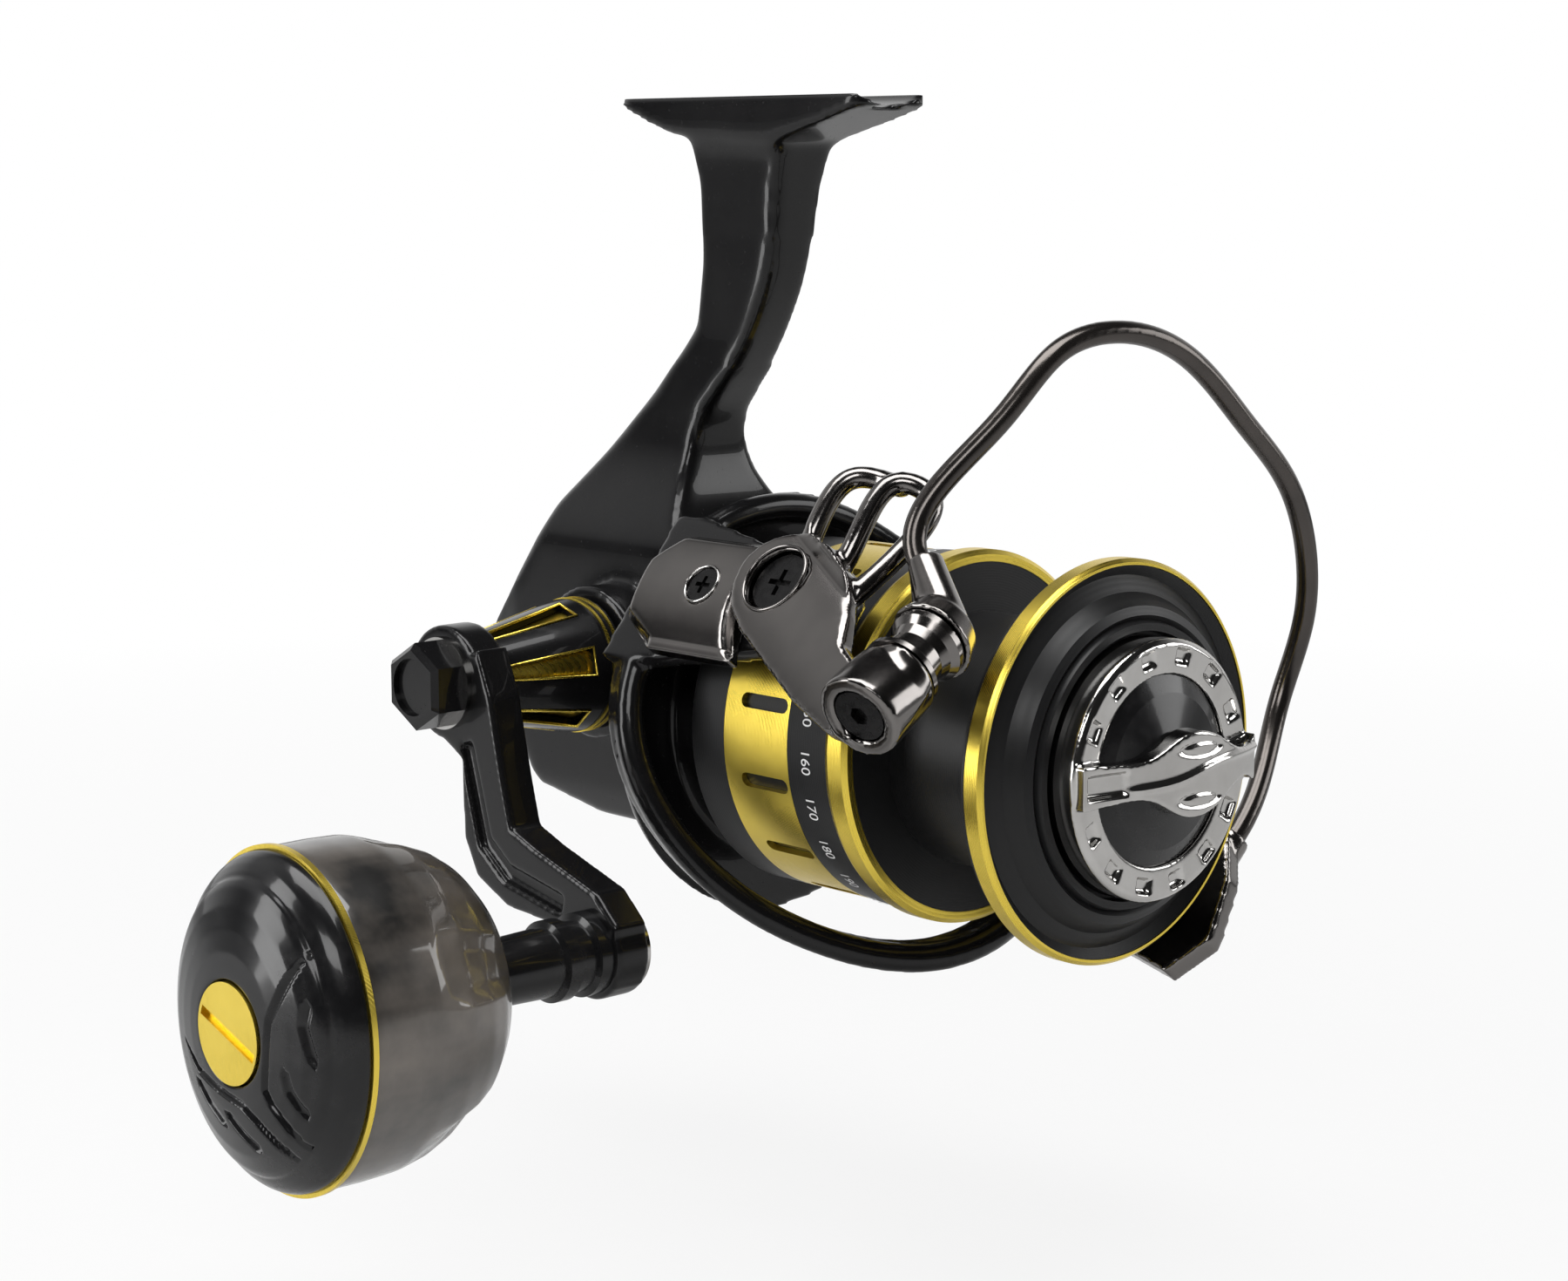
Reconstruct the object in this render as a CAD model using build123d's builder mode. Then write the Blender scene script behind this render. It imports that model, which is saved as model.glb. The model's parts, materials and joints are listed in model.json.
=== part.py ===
"""Large fixed-spool fishing reel, right-hand crank, as an assembly of its real pieces.

Frame: millimetres, +X forward along the spool axis, +Z up towards the rod, the crank on the -Y side.
The origin is the middle of the reel foot's seat, where the rod lies.
"""
import os
from math import cos, pi, radians, sin, sqrt

from build123d import *

os.makedirs("parts", exist_ok=True)

# ---------------------------------------------------------------- driving dimensions
SPOOL_Z = -110.5          # height of the spool axis below the foot's seat
SPOOL_FACE = 88.0         # front edge of the spool's rim
RIM_RADIUS = 34.0         # outside of the gold front rim
LIP_RADIUS = 32.6         # outside of the rear flange ring
ARBOR_RADIUS = 22.0       # line winds on this
SHAFT_RADIUS = 3.0        # main shaft
STROKE = 16.0             # travel of the spool, half of it each way from rest

CRANK_X = -17.0           # crank axis runs along Y through this point
CRANK_Z = -103.0
CRANK_SHAFT = 3.7         # radius of the gear shaft
KNOB_X = 22.0             # knob axis, with the arm forward and down
KNOB_Z = -144.5

OSC_X = -40.0             # oscillation gear, level with the spool axis
OSC_THROW = STROKE / 2    # eccentric pin from its centre
GEAR_MODULE = 0.896
DRIVE_TEETH = 30
OSC_TEETH = 24

FOOT_REAR = -31.0
FOOT_FRONT = 34.5
FOOT_WIDTH = 17.5
CASE_FRONT = 1.0
CASE_LEFT = 14.5          # joint plane between the housing and the side cover
CASE_RIGHT = -18.0        # flat of the right wall

ARM_ANGLE = 38.0          # bail arm's direction, from -Y towards +Z about the spool axis
PIVOT_X = 46.0            # bail pivot axis crosses the spool axis here
ARM_IN = 36.0             # inner face of the rotor arms, from the spool axis
ARM_OUT = 40.0            # outer face of the rotor arms
LEVER_IN = 40.3           # inner face of the bail levers
LEVER_OUT = 46.0          # outer face of the bail levers
WIRE_RADIUS = 2.0

FIT = 0.05                # radial clearance of a turning fit
GAP = 0.3                 # clearance between bodies that only pass each other

# ---------------------------------------------------------------- working planes
SPOOL = Plane(origin=(0, 0, SPOOL_Z), x_dir=(1, 0, 0), z_dir=(0, -1, 0))
CRANK = Plane(origin=(CRANK_X, 0, CRANK_Z), x_dir=(0, 1, 0), z_dir=(1, 0, 0))
KNOB = Plane(origin=(KNOB_X, 0, KNOB_Z), x_dir=(0, 1, 0), z_dir=(1, 0, 0))
OSC = Plane(origin=(OSC_X, 0, SPOOL_Z), x_dir=(0, 1, 0), z_dir=(1, 0, 0))
ARM_WAY = Vector(0, -cos(radians(ARM_ANGLE)), sin(radians(ARM_ANGLE)))
ROTOR = Plane(origin=(0, 0, SPOOL_Z), x_dir=(1, 0, 0), z_dir=ARM_WAY)


def keep(piece, label):
    """Name a finished piece and write it."""
    piece.part.label = label
    export_step(piece.part, f"parts/{label}.step")


def turn(outline, plane=SPOOL, mode=Mode.ADD):
    """Turn a closed outline of (along, radius) points about the plane's own x axis."""
    with BuildSketch(plane) as section:
        with BuildLine():
            Polyline(*outline, close=True)
        make_face()
    revolve(section.sketch, axis=Axis(plane.origin, plane.x_dir), mode=mode)


def ring(start, end, inner, outer, plane=SPOOL, mode=Mode.ADD):
    """A plain ring or, with inner 0, a plain disc along the plane's x axis."""
    turn([(start, inner), (end, inner), (end, outer), (start, outer)], plane, mode)


def across(plane, along, turned=0.0):
    """The plane square to another plane's x axis, `along` mm down it, its x axis turned about it."""
    square = Plane(plane.origin + plane.x_dir * along, x_dir=plane.y_dir, z_dir=plane.x_dir)
    way = square.x_dir * cos(radians(turned)) + square.y_dir * sin(radians(turned))
    return Plane(square.origin, x_dir=way, z_dir=square.z_dir)


def spur_outline(teeth, module, depth=0.7):
    """Points of a coarse spur gear: flat-topped teeth with generous backlash."""
    pitch_radius = teeth * module / 2
    points = []
    for tooth in range(teeth):
        for share, radius in ((-0.26, -0.75), (-0.13, depth), (0.13, depth), (0.26, -0.75)):
            angle = 2 * pi * (tooth + share) / teeth
            reach = pitch_radius + radius * module
            points.append((reach * cos(angle), reach * sin(angle)))
    return points


# ================================================================ frame
LEG_REAR = [(-15.5, -5.0), (-12.3, -16), (-11.9, -30), (-13.6, -42), (-25.3, -54.5), (-38.7, -66.5),
            (-51, -76.5), (-64.4, -93.9), (-71, -102)]
LEG_FRONT = [(-4, -80), (-10, -68), (-9.5, -60), (-4.8, -53.5), (2.1, -44.5), (8.6, -30.5), (11, -17),
             (15, -5)]
CASE_BOTTOM = [(-71, -102), (-68, -112), (-49, -124), (-45, -131), (-28, -134.8), (-13, -134.8),
               (CASE_FRONT, -131), (CASE_FRONT, -88), (-4, -80)]

# the rear outline is a ridge on the middle plane, and the sides slope forward from it
RIDGE_LINE = [(-78, -140), (-75, -112)] + LEG_REAR[::-1] + [(-15.5, 5)]
RIDGE_HALF = 2.0
RIDGE_SLOPE = 0.8

with BuildPart() as casting:
    with BuildSketch(Plane.XZ):
        with BuildLine():
            Spline(*LEG_REAR)
            Polyline(*CASE_BOTTOM)
            Spline(*LEG_FRONT)
            Line(LEG_FRONT[-1], LEG_REAR[0])
        make_face()
    extrude(amount=22, both=True)
    with BuildSketch(Plane.YZ):
        with BuildLine():
            Polyline((8.2, -4), (6.6, -12), (5.6, -26), (5.2, -44), (6.4, -58))
            Spline((6.4, -58), (10, -70), (18.2, -83), (20.5, -92))
            Polyline((20.5, -92), (20.5, -97), (20.5, -122), (15, -136), (0, -136))
            mirror(about=Plane.YZ)
            Line((8.2, -4), (-8.2, -4))
        make_face()
    extrude(amount=80, both=True, mode=Mode.INTERSECT)
    with BuildSketch(Plane.XY):
        with BuildLine():
            Polyline((20, 0), (20, 21), (-30, 20.5), (-47, 18.6), (-60, 15.2), (-71.5, 4), (-71.5, 0))
            mirror(about=Plane.XZ)
        make_face()
    extrude(amount=-140, mode=Mode.INTERSECT)
    with BuildSketch(Plane.XZ):
        with BuildLine():
            Polyline(*RIDGE_LINE, (60, 5), (60, -140), close=True)
        make_face()
    ridge_face = casting.pending_faces[-1]
    casting.pending_faces.clear()
    casting.pending_face_planes.clear()
    ridge_block = extrude(ridge_face, amount=RIDGE_HALF + 0.01, both=True, mode=Mode.PRIVATE)
    for side in (-1, 1):
        flank = ridge_face.translate((0, side * RIDGE_HALF, 0))
        ridge_block += extrude(flank, amount=32, dir=(RIDGE_SLOPE, side, 0), mode=Mode.PRIVATE)
    add(ridge_block, mode=Mode.INTERSECT)

CAVITY = [(-1.4, -91), (-7, -86.8), (-40, -86.8), (-50.5, -92), (-53.5, -96), (-53.5, -113), (-52, -119.8),
          (-48.2, -122.6), (-43, -125.5), (-5, -127), (-1.4, -124)]
CAVITY_RIGHT = -13.0      # inner face of the right wall
ROD_Y = 7.0
ROD_HEIGHTS = (-97.0, -116.0)
SCREW_SPOTS = [(-9, -84.8), (-37, -84.8), (-38, -129.2), (-7, -130.2)]

with BuildPart() as housing:
    add(casting.part)
    # the right wall is flat, with the boss of the crank on it
    with BuildSketch(Plane.XZ.offset(-CASE_RIGHT)):
        with Locations((-30, -112)):
            Rectangle(90, 60)
    extrude(amount=10, mode=Mode.SUBTRACT)
    ring(-27, -17, 0, 14, CRANK)
    # foot: a wedge under a hollow seat
    with BuildSketch(Plane.XZ):
        with BuildLine():
            Polyline((FOOT_REAR, 0), (FOOT_FRONT, 0), (FOOT_FRONT, -2.6), (13, -8.8), (-15, -7.2),
                     (FOOT_REAR, -0.9), close=True)
        make_face()
    extrude(amount=FOOT_WIDTH / 2, both=True)
    foot_ends = housing.edges().filter_by(Axis.Z).filter_by(lambda edge: edge.center().Z > -3)
    fillet(foot_ends.sort_by(Axis.X)[:2], radius=6)
    fillet(foot_ends.sort_by(Axis.X)[2:], radius=2.5)
    with BuildSketch(Plane.YZ):
        with Locations((0, 13.4)):
            Circle(16)
    extrude(amount=60, both=True, mode=Mode.SUBTRACT)
    # neck for the pinion bearing and the clutch
    ring(CASE_FRONT - 3, 14, 0, 13.5)
    # inside: cut open from the joint plane of the side cover
    split(bisect_by=Plane.XZ.offset(-CASE_LEFT), keep=Keep.TOP)
    with BuildSketch(Plane.XZ.offset(-CASE_LEFT)):
        with BuildLine():
            Polyline(*CAVITY, close=True)
        make_face()
    extrude(amount=CASE_LEFT - CAVITY_RIGHT, mode=Mode.SUBTRACT)
    # rib behind the pinion, up from the floor, and the post of the oscillation gear
    with BuildSketch(Plane.YZ.offset(-12.6)):
        with Locations((2, SPOOL_Z - 6)):
            Rectangle(15, 23.5)
    extrude(amount=2.4)
    ring(CAVITY_RIGHT - 0.5, -9.9, 0, 2.5, OSC)
    # bores
    ring(-13, -9, 0, 5.7, SPOOL, Mode.SUBTRACT)
    ring(-2, 4, 0, 9.5, SPOOL, Mode.SUBTRACT)
    ring(4, 15, 0, 11, SPOOL, Mode.SUBTRACT)
    ring(-30, -11, 0, CRANK_SHAFT + 0.6, CRANK, Mode.SUBTRACT)
    ring(-24.5, -19, 0, 8.5, CRANK, Mode.SUBTRACT)
    ring(-27.5, -24.5, 0, 9, CRANK, Mode.SUBTRACT)
    # seats of the guide rods, threads of the cover screws
    for rod_z in ROD_HEIGHTS:
        with BuildSketch(Plane.YZ.offset(-57)):
            with Locations((ROD_Y, rod_z)):
                Circle(1.5)
        extrude(amount=57.5, mode=Mode.SUBTRACT)
    with BuildSketch(Plane.XZ.offset(-CASE_LEFT)):
        with Locations(*SCREW_SPOTS):
            Circle(1.25)
    extrude(amount=8, mode=Mode.SUBTRACT)
keep(housing, "housing")

COVER_FACE = 17.0         # the screw heads sit on this level of the side cover

with BuildPart() as side_cover:
    add(casting.part)
    split(bisect_by=Plane.XZ.offset(-CASE_LEFT), keep=Keep.BOTTOM)
    ring(14, 17.8, 0, 7, CRANK, Mode.SUBTRACT)
    ring(17, 30, 0, 5, CRANK, Mode.SUBTRACT)
    ring(19.2, 30, 0, 8, CRANK, Mode.SUBTRACT)
    for hole_radius, level in ((1.4, CASE_LEFT), (2.6, COVER_FACE)):
        with BuildSketch(Plane.XZ.offset(-level)):
            with Locations(*SCREW_SPOTS):
                Circle(hole_radius)
        extrude(amount=-9, mode=Mode.SUBTRACT)
keep(side_cover, "side_cover")

with BuildPart() as cover_screws:
    with BuildSketch(Plane.XZ.offset(-COVER_FACE)):
        with Locations(*SCREW_SPOTS):
            Circle(2.5)
    extrude(amount=-1.8)
    with BuildSketch(Plane.XZ.offset(-COVER_FACE - 1.8)):
        with Locations(*SCREW_SPOTS):
            RegularPolygon(1.1, 6)
    extrude(amount=1.1, mode=Mode.SUBTRACT)
    with BuildSketch(Plane.XZ.offset(-COVER_FACE)):
        with Locations(*SCREW_SPOTS):
            Circle(1.25)
    extrude(amount=9)
keep(cover_screws, "cover_screws")

with BuildPart() as left_cap:
    ring(18.2, 20, 0, 4.95, CRANK)
    ring(19.3, 23, 0, 7.8, CRANK)
    chamfer(left_cap.faces().sort_by(Axis.Y)[-1].edges(), length=1.2)
    with BuildSketch(across(CRANK, 23)):
        Rectangle(1.6, 12)
    extrude(amount=-1.2, mode=Mode.SUBTRACT)
keep(left_cap, "left_cap")

with BuildPart() as crank_seal:
    ring(-26.9, -24.6, CRANK_SHAFT + FIT, 8.9, CRANK)
keep(crank_seal, "crank_seal")

with BuildPart() as drive_bearings:
    ring(-24.4, -19.1, CRANK_SHAFT + FIT, 8.45, CRANK)
    ring(14.6, 17.7, CRANK_SHAFT + FIT, 6.95, CRANK)
keep(drive_bearings, "drive_bearings")

PINION_JOURNAL = 4.6
with BuildPart() as pinion_bush:
    ring(-12.6, -10.2, PINION_JOURNAL + FIT, 5.7)
keep(pinion_bush, "pinion_bush")

with BuildPart() as pinion_bearing:
    ring(0.2, 3.9, PINION_JOURNAL + FIT, 9.45)
keep(pinion_bearing, "pinion_bearing")

with BuildPart() as one_way_clutch:
    ring(4.1, 13.6, PINION_JOURNAL + FIT, 10.95)
    with BuildSketch(across(SPOOL, 13.6)):
        with PolarLocations(7.8, 10):
            Circle(1.1)
    extrude(amount=-1, mode=Mode.SUBTRACT)
keep(one_way_clutch, "one_way_clutch")

with BuildPart() as guide_rods:
    with BuildSketch(Plane.YZ.offset(-56.5)):
        with Locations(*[(ROD_Y, rod_z) for rod_z in ROD_HEIGHTS]):
            Circle(1.45)
    extrude(amount=56.5)
keep(guide_rods, "guide_rods")

# ================================================================ crank
MESH_ANGLE = 251.94       # from the crank axis to the oscillation gear, measured from +Z towards +X

with BuildPart() as drive_gear:
    turn([(-27.3, 2.05), (6, 2.05), (6, 0), (17.6, 0), (17.6, CRANK_SHAFT), (14.4, CRANK_SHAFT), (14.4, 5),
          (12, 5), (12, CRANK_SHAFT), (-7, CRANK_SHAFT), (-7, 14.6), (-9.5, 14.6), (-9.5, CRANK_SHAFT),
          (-27.3, CRANK_SHAFT)], CRANK)
    with BuildSketch(across(CRANK, -12, MESH_ANGLE % (360 / DRIVE_TEETH))):
        Polygon(*spur_outline(DRIVE_TEETH, GEAR_MODULE), align=None)
        Circle(CRANK_SHAFT - 0.5, mode=Mode.SUBTRACT)
    extrude(amount=2.5)
    with BuildSketch(across(CRANK, -7.1)):
        with PolarLocations(12.9, 45):
            Rectangle(3.4, 0.9)
    extrude(amount=1.1)
keep(drive_gear, "drive_gear")

with BuildPart() as crank_spindle:
    ring(-58, 4, 0, 2.0, CRANK)
keep(crank_spindle, "crank_spindle")

HUB_BIG = 12.2
HUB_SMALL = 7.8
HUB_START = -27.8
HUB_END = -53.0


with BuildPart() as cone_hub:
    turn([(HUB_START, 2.1), (HUB_START, HUB_BIG - 0.5), (HUB_START - 0.5, HUB_BIG), (-32, HUB_BIG),
          (HUB_END, HUB_SMALL), (HUB_END, 2.1), (HUB_END + 1, 2.1), (HUB_END + 1, HUB_SMALL - 1.5),
          (-33.5, HUB_BIG - 1.8), (-33.5, 2.1)], CRANK)
    for start in (-28.9, -30.6):
        ring(start - 0.6, start, HUB_BIG - 0.4, 14, CRANK, Mode.SUBTRACT)
    # six long windows, wider towards the case
    for window in range(6):
        with BuildSketch(across(CRANK, -34.2, 60 * window + 18)) as wide_end:
            with Locations((10, 0)):
                Rectangle(8, 5.4)
        with BuildSketch(across(CRANK, -52.2, 60 * window + 18)) as narrow_end:
            with Locations((8, 0)):
                Rectangle(8, 2.4)
        loft([wide_end.sketch.face(), narrow_end.sketch.face()], mode=Mode.SUBTRACT)
keep(cone_hub, "cone_hub")

with BuildPart() as cone_liner:
    turn([(-33.7, 2.1), (-33.7, HUB_BIG - 2.0), (HUB_END + 1.2, HUB_SMALL - 1.7),
          (HUB_END + 1.2, 2.1)], CRANK)
keep(cone_liner, "cone_liner")

with BuildPart() as hub_rings:
    for start in (-28.9, -30.6):
        ring(start - 0.55, start - 0.05, HUB_BIG - 0.35, HUB_BIG + 0.2, CRANK)
keep(hub_rings, "hub_rings")

ARM_INNER = -53.0
ARM_OUTER = -60.0
with BuildPart() as handle_arm:
    with BuildSketch(Plane.XZ.offset(-ARM_INNER)):
        with BuildLine():
            Polyline((-24.5, -109.5), (-12.5, -116), (-12, -130), (-8.5, -136.5), (0, -140.5), (14, -141.5),
                     (18.4, -151.5), (28.5, -150), (29.5, -139), (24, -134), (8, -129), (1.5, -126.5),
                     (-0.8, -118), (-4, -104), (-7.5, -96), close=True)
        make_face()
        with Locations((CRANK_X, CRANK_Z)):
            Circle(10.2)
        with Locations((KNOB_X, KNOB_Z)):
            Circle(8.2)
    extrude(amount=ARM_INNER - ARM_OUTER)
    ring(ARM_OUTER - 1, ARM_INNER + 1, 0, 2.05, CRANK, Mode.SUBTRACT)
    ring(ARM_OUTER - 1, ARM_INNER + 1, 0, 3.0, KNOB, Mode.SUBTRACT)
    # long groove down the outer face
    with BuildSketch(Plane.XZ.offset(-ARM_OUTER)):
        with BuildLine() as groove:
            Polyline((-11, -113), (-6, -130), (0, -134.5), (15, -137.5))
        trace(groove.line, line_width=3.2)
    extrude(amount=-1.6, mode=Mode.SUBTRACT)
keep(handle_arm, "handle_arm")

with BuildPart() as arm_washer:
    ring(ARM_OUTER - 0.9, ARM_OUTER, 2.05, 8.2, CRANK)
keep(arm_washer, "arm_washer")

with BuildPart() as hex_cap:
    with BuildSketch(across(CRANK, ARM_OUTER - 0.9)):
        RegularPolygon(7.8, 6)
    extrude(amount=-6.2)
    chamfer(hex_cap.faces().sort_by(Axis.Y)[0].edges(), length=1)
    ring(-68, ARM_OUTER - 6.1, 0, 5.1, CRANK, Mode.SUBTRACT)
    ring(ARM_OUTER - 5.9, ARM_OUTER, 0, 2.05, CRANK, Mode.SUBTRACT)
keep(hex_cap, "hex_cap")

KNOB_BACK = -84.5
KNOB_SEAM = -121.6
KNOB_FACE = -131.6
with BuildPart() as knob_spindle:
    turn([(ARM_INNER + 1.4, 0), (ARM_INNER + 1.4, 5), (ARM_INNER + 0.9, 5.4), (ARM_INNER + 0.9, 3),
          (ARM_OUTER, 3),
          (-115, 3), (-115, 0)], KNOB)
keep(knob_spindle, "knob_spindle")

with BuildPart() as spindle_washer:
    ring(ARM_INNER, ARM_INNER + 0.9, 3.02, 7.4, KNOB)
keep(spindle_washer, "spindle_washer")

with BuildPart() as knob_sleeve:
    turn([(ARM_OUTER, 3.02), (ARM_OUTER, 7.2), (-62.5, 7.2), (-63, 6.2), (-66, 6.2), (-66.5, 7), (-69, 7),
          (-69.5, 6), (KNOB_BACK + 0.4, 5.6), (KNOB_BACK + 0.4, 3.02)], KNOB)
keep(knob_sleeve, "knob_sleeve")

# ================================================================ knob
KNOB_HALF_TALL = 28.0
KNOB_HALF_WIDE = 24.5


def knob_section(y, size):
    """One oval slice of the knob."""
    with BuildSketch(Plane(origin=(KNOB_X, y, KNOB_Z), x_dir=(1, 0, 0), z_dir=(0, -1, 0))) as slice_:
        Ellipse(KNOB_HALF_WIDE * size, KNOB_HALF_TALL * size)
    return slice_.sketch.face()


with BuildPart() as knob_cup:
    loft([knob_section(y, size) for y, size in ((KNOB_BACK, 0.36), (-88.5, 0.64), (-96, 0.86), (-107, 0.98),
                                                (KNOB_SEAM + 1, 0.985))])
    ring(-122, KNOB_BACK + 1, 0, 3.4, KNOB, Mode.SUBTRACT)
    ring(-92, KNOB_BACK + 1, 0, 6.5, KNOB, Mode.SUBTRACT)
    ring(-122, -110, 0, 6.5, KNOB, Mode.SUBTRACT)
keep(knob_cup, "knob_cup")

with BuildPart() as knob_bearings:
    for start in (-91.9, -114.5):
        ring(start, start + 4, 3.0 + FIT, 6.45, KNOB)
keep(knob_bearings, "knob_bearings")

with BuildPart() as knob_ring:
    loft([knob_section(KNOB_SEAM + 0.9, 1.0), knob_section(KNOB_SEAM - 0.1, 1.0)])
    ring(KNOB_SEAM - 1, KNOB_SEAM + 1, 0, 18, KNOB, Mode.SUBTRACT)
keep(knob_ring, "knob_ring")

with BuildPart() as knob_cap:
    loft([knob_section(y, size) for y, size in ((KNOB_SEAM - 0.2, 0.975), (-124.6, 0.935), (-128, 0.8),
                                                (-130.5, 0.55),
                                                (KNOB_FACE + 0.3, 0.42))])
    ring(KNOB_SEAM - 3.4, KNOB_SEAM + 1, 0, 17.5, KNOB, Mode.SUBTRACT)
    ring(-133, -127.6, 0, 8.2, KNOB, Mode.SUBTRACT)
    ring(-133, KNOB_SEAM, 0, 2.5, KNOB, Mode.SUBTRACT)
keep(knob_cap, "knob_cap")

with BuildPart() as knob_screw:
    ring(KNOB_FACE, -127.7, 0, 8.1, KNOB)
    ring(-127.8, -115.6, 0, 2.45, KNOB)
    with BuildSketch(across(KNOB, KNOB_FACE, 20)):
        Rectangle(1.6, 15)
    extrude(amount=1.2, mode=Mode.SUBTRACT)
keep(knob_screw, "knob_screw")

# ================================================================ oscillation
with BuildPart() as oscillation_gear:
    gap_angle = MESH_ANGLE - 180 - 180 / OSC_TEETH
    with BuildSketch(across(OSC, -12, gap_angle % (360 / OSC_TEETH))):
        Polygon(*spur_outline(OSC_TEETH, GEAR_MODULE), align=None)
    extrude(amount=2.2)
    ring(-12.8, -12, 2.6, 4.5, OSC)
    ring(-15, -9, 0, 2.5 + FIT, OSC, Mode.SUBTRACT)
    # eccentric pin, straight above the centre when the spool is in the middle of its stroke
    with BuildSketch(Plane.XZ.offset(9.9)):
        with Locations((OSC_X, SPOOL_Z + OSC_THROW)):
            Circle(1.5)
    extrude(amount=-3.4)
keep(oscillation_gear, "oscillation_gear")

SLIDER_FRONT = OSC_X + 3
SLIDER_BACK = OSC_X - 3
with BuildPart() as slider:
    with BuildSketch(Plane.YZ.offset(SLIDER_BACK)):
        with Locations((2.5, SPOOL_Z)):
            Rectangle(16, 10)
        with Locations((ROD_Y, -106.5)):
            Rectangle(7, 24)
    extrude(amount=SLIDER_FRONT - SLIDER_BACK)
    with BuildSketch(Plane.XZ.offset(5.9)):
        with Locations((OSC_X, SPOOL_Z)):
            SlotOverall(21.6, 6, rotation=90)
    extrude(amount=-3)
    with BuildSketch(Plane.XZ.offset(5.9)):
        with Locations((OSC_X, SPOOL_Z)):
            SlotOverall(19.4, 3.3, rotation=90)
    extrude(amount=-1.8, mode=Mode.SUBTRACT)
    ring(SLIDER_BACK - 1, SLIDER_FRONT + 1, 0, SHAFT_RADIUS, SPOOL, Mode.SUBTRACT)
    with BuildSketch(Plane.YZ.offset(SLIDER_BACK - 1)):
        with Locations(*[(ROD_Y, rod_z) for rod_z in ROD_HEIGHTS]):
            Circle(1.45 + 0.25)
    extrude(amount=SLIDER_FRONT - SLIDER_BACK + 2, mode=Mode.SUBTRACT)
keep(slider, "slider")

SHAFT_REAR = SLIDER_BACK - 1.5
SHAFT_TIP = 100.0
with BuildPart() as main_shaft:
    ring(SHAFT_REAR, SHAFT_TIP, 0, SHAFT_RADIUS)
    # collar the spool rests on
    ring(38.5, 41, SHAFT_RADIUS, 6)
    # flats for the drag plates
    for side in (-1, 1):
        with BuildSketch(Plane.XY.offset(SPOOL_Z)):
            with Locations((71, side * (SHAFT_RADIUS - 0.25))):
                Rectangle(20, 0.7)
        extrude(amount=4, both=True, mode=Mode.SUBTRACT)
    chamfer(main_shaft.faces().sort_by(Axis.X)[-1].edges(), length=0.8)
keep(main_shaft, "main_shaft")

# ================================================================ spool
SKIRT_INNER = 29.0
LIP_REAR = 51.0
LIP_FRONT = 56.0
BAND_REAR = 41.0
SLEEVE_REAR = 25.0
SKIRT_REAR = 16.0
DISH_BACK = 82.0
CHAMBER = 18.5            # radius of the drag chamber

with BuildPart() as spool:
    # arbor, drag chamber, and the web that carries the skirt
    turn([(41.3, SHAFT_RADIUS + 2.5), (41.3, 14), (46, 17), (50, 19), (LIP_REAR + 0.5, SKIRT_INNER + 1.5),
          (LIP_FRONT - 0.1, SKIRT_INNER + 1.5), (LIP_FRONT - 0.1, ARBOR_RADIUS),
              (DISH_BACK + 0.9, ARBOR_RADIUS),
          (DISH_BACK + 0.9, CHAMBER), (66, CHAMBER), (66, SHAFT_RADIUS + 0.15), (50, SHAFT_RADIUS + 0.15),
          (50, SHAFT_RADIUS + 2.5)])
keep(spool, "spool")

with BuildPart() as spool_bearing:
    ring(44.5, 49.9, SHAFT_RADIUS + FIT, SHAFT_RADIUS + 2.45)
keep(spool_bearing, "spool_bearing")

with BuildPart() as spool_flange:
    # dished front with a stepped shoulder round the drag knob
    turn([(DISH_BACK + 0.9, CHAMBER), (DISH_BACK + 0.9, ARBOR_RADIUS), (DISH_BACK + 0.9, RIM_RADIUS - 1.1),
          (SPOOL_FACE - 0.3, RIM_RADIUS - 1.1), (SPOOL_FACE - 1.6, 31.2), (SPOOL_FACE - 0.2, 28.5),
          (SPOOL_FACE + 2.6, 26.5), (SPOOL_FACE + 3.2, 25), (SPOOL_FACE + 2.6, 24.2),
              (SPOOL_FACE + 4, 23.8),
          (SPOOL_FACE + 4, 22.5), (SPOOL_FACE + 1.2, 22.4), (SPOOL_FACE + 1.2, CHAMBER)])
keep(spool_flange, "spool_flange")

with BuildPart() as spool_rim:
    turn([(84, RIM_RADIUS - 1.05), (84, RIM_RADIUS - 0.5), (84.6, RIM_RADIUS), (87.3, RIM_RADIUS),
          (SPOOL_FACE, RIM_RADIUS - 0.6), (SPOOL_FACE, RIM_RADIUS - 1.05)])
keep(spool_rim, "spool_rim")

with BuildPart() as skirt_lip:
    turn([(LIP_REAR, SKIRT_INNER + 1.55), (LIP_REAR, LIP_RADIUS - 0.5), (LIP_REAR + 1, LIP_RADIUS),
          (LIP_FRONT - 0.8, LIP_RADIUS), (LIP_FRONT, LIP_RADIUS - 0.8), (LIP_FRONT, SKIRT_INNER + 1.55)])
keep(skirt_lip, "skirt_lip")

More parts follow.
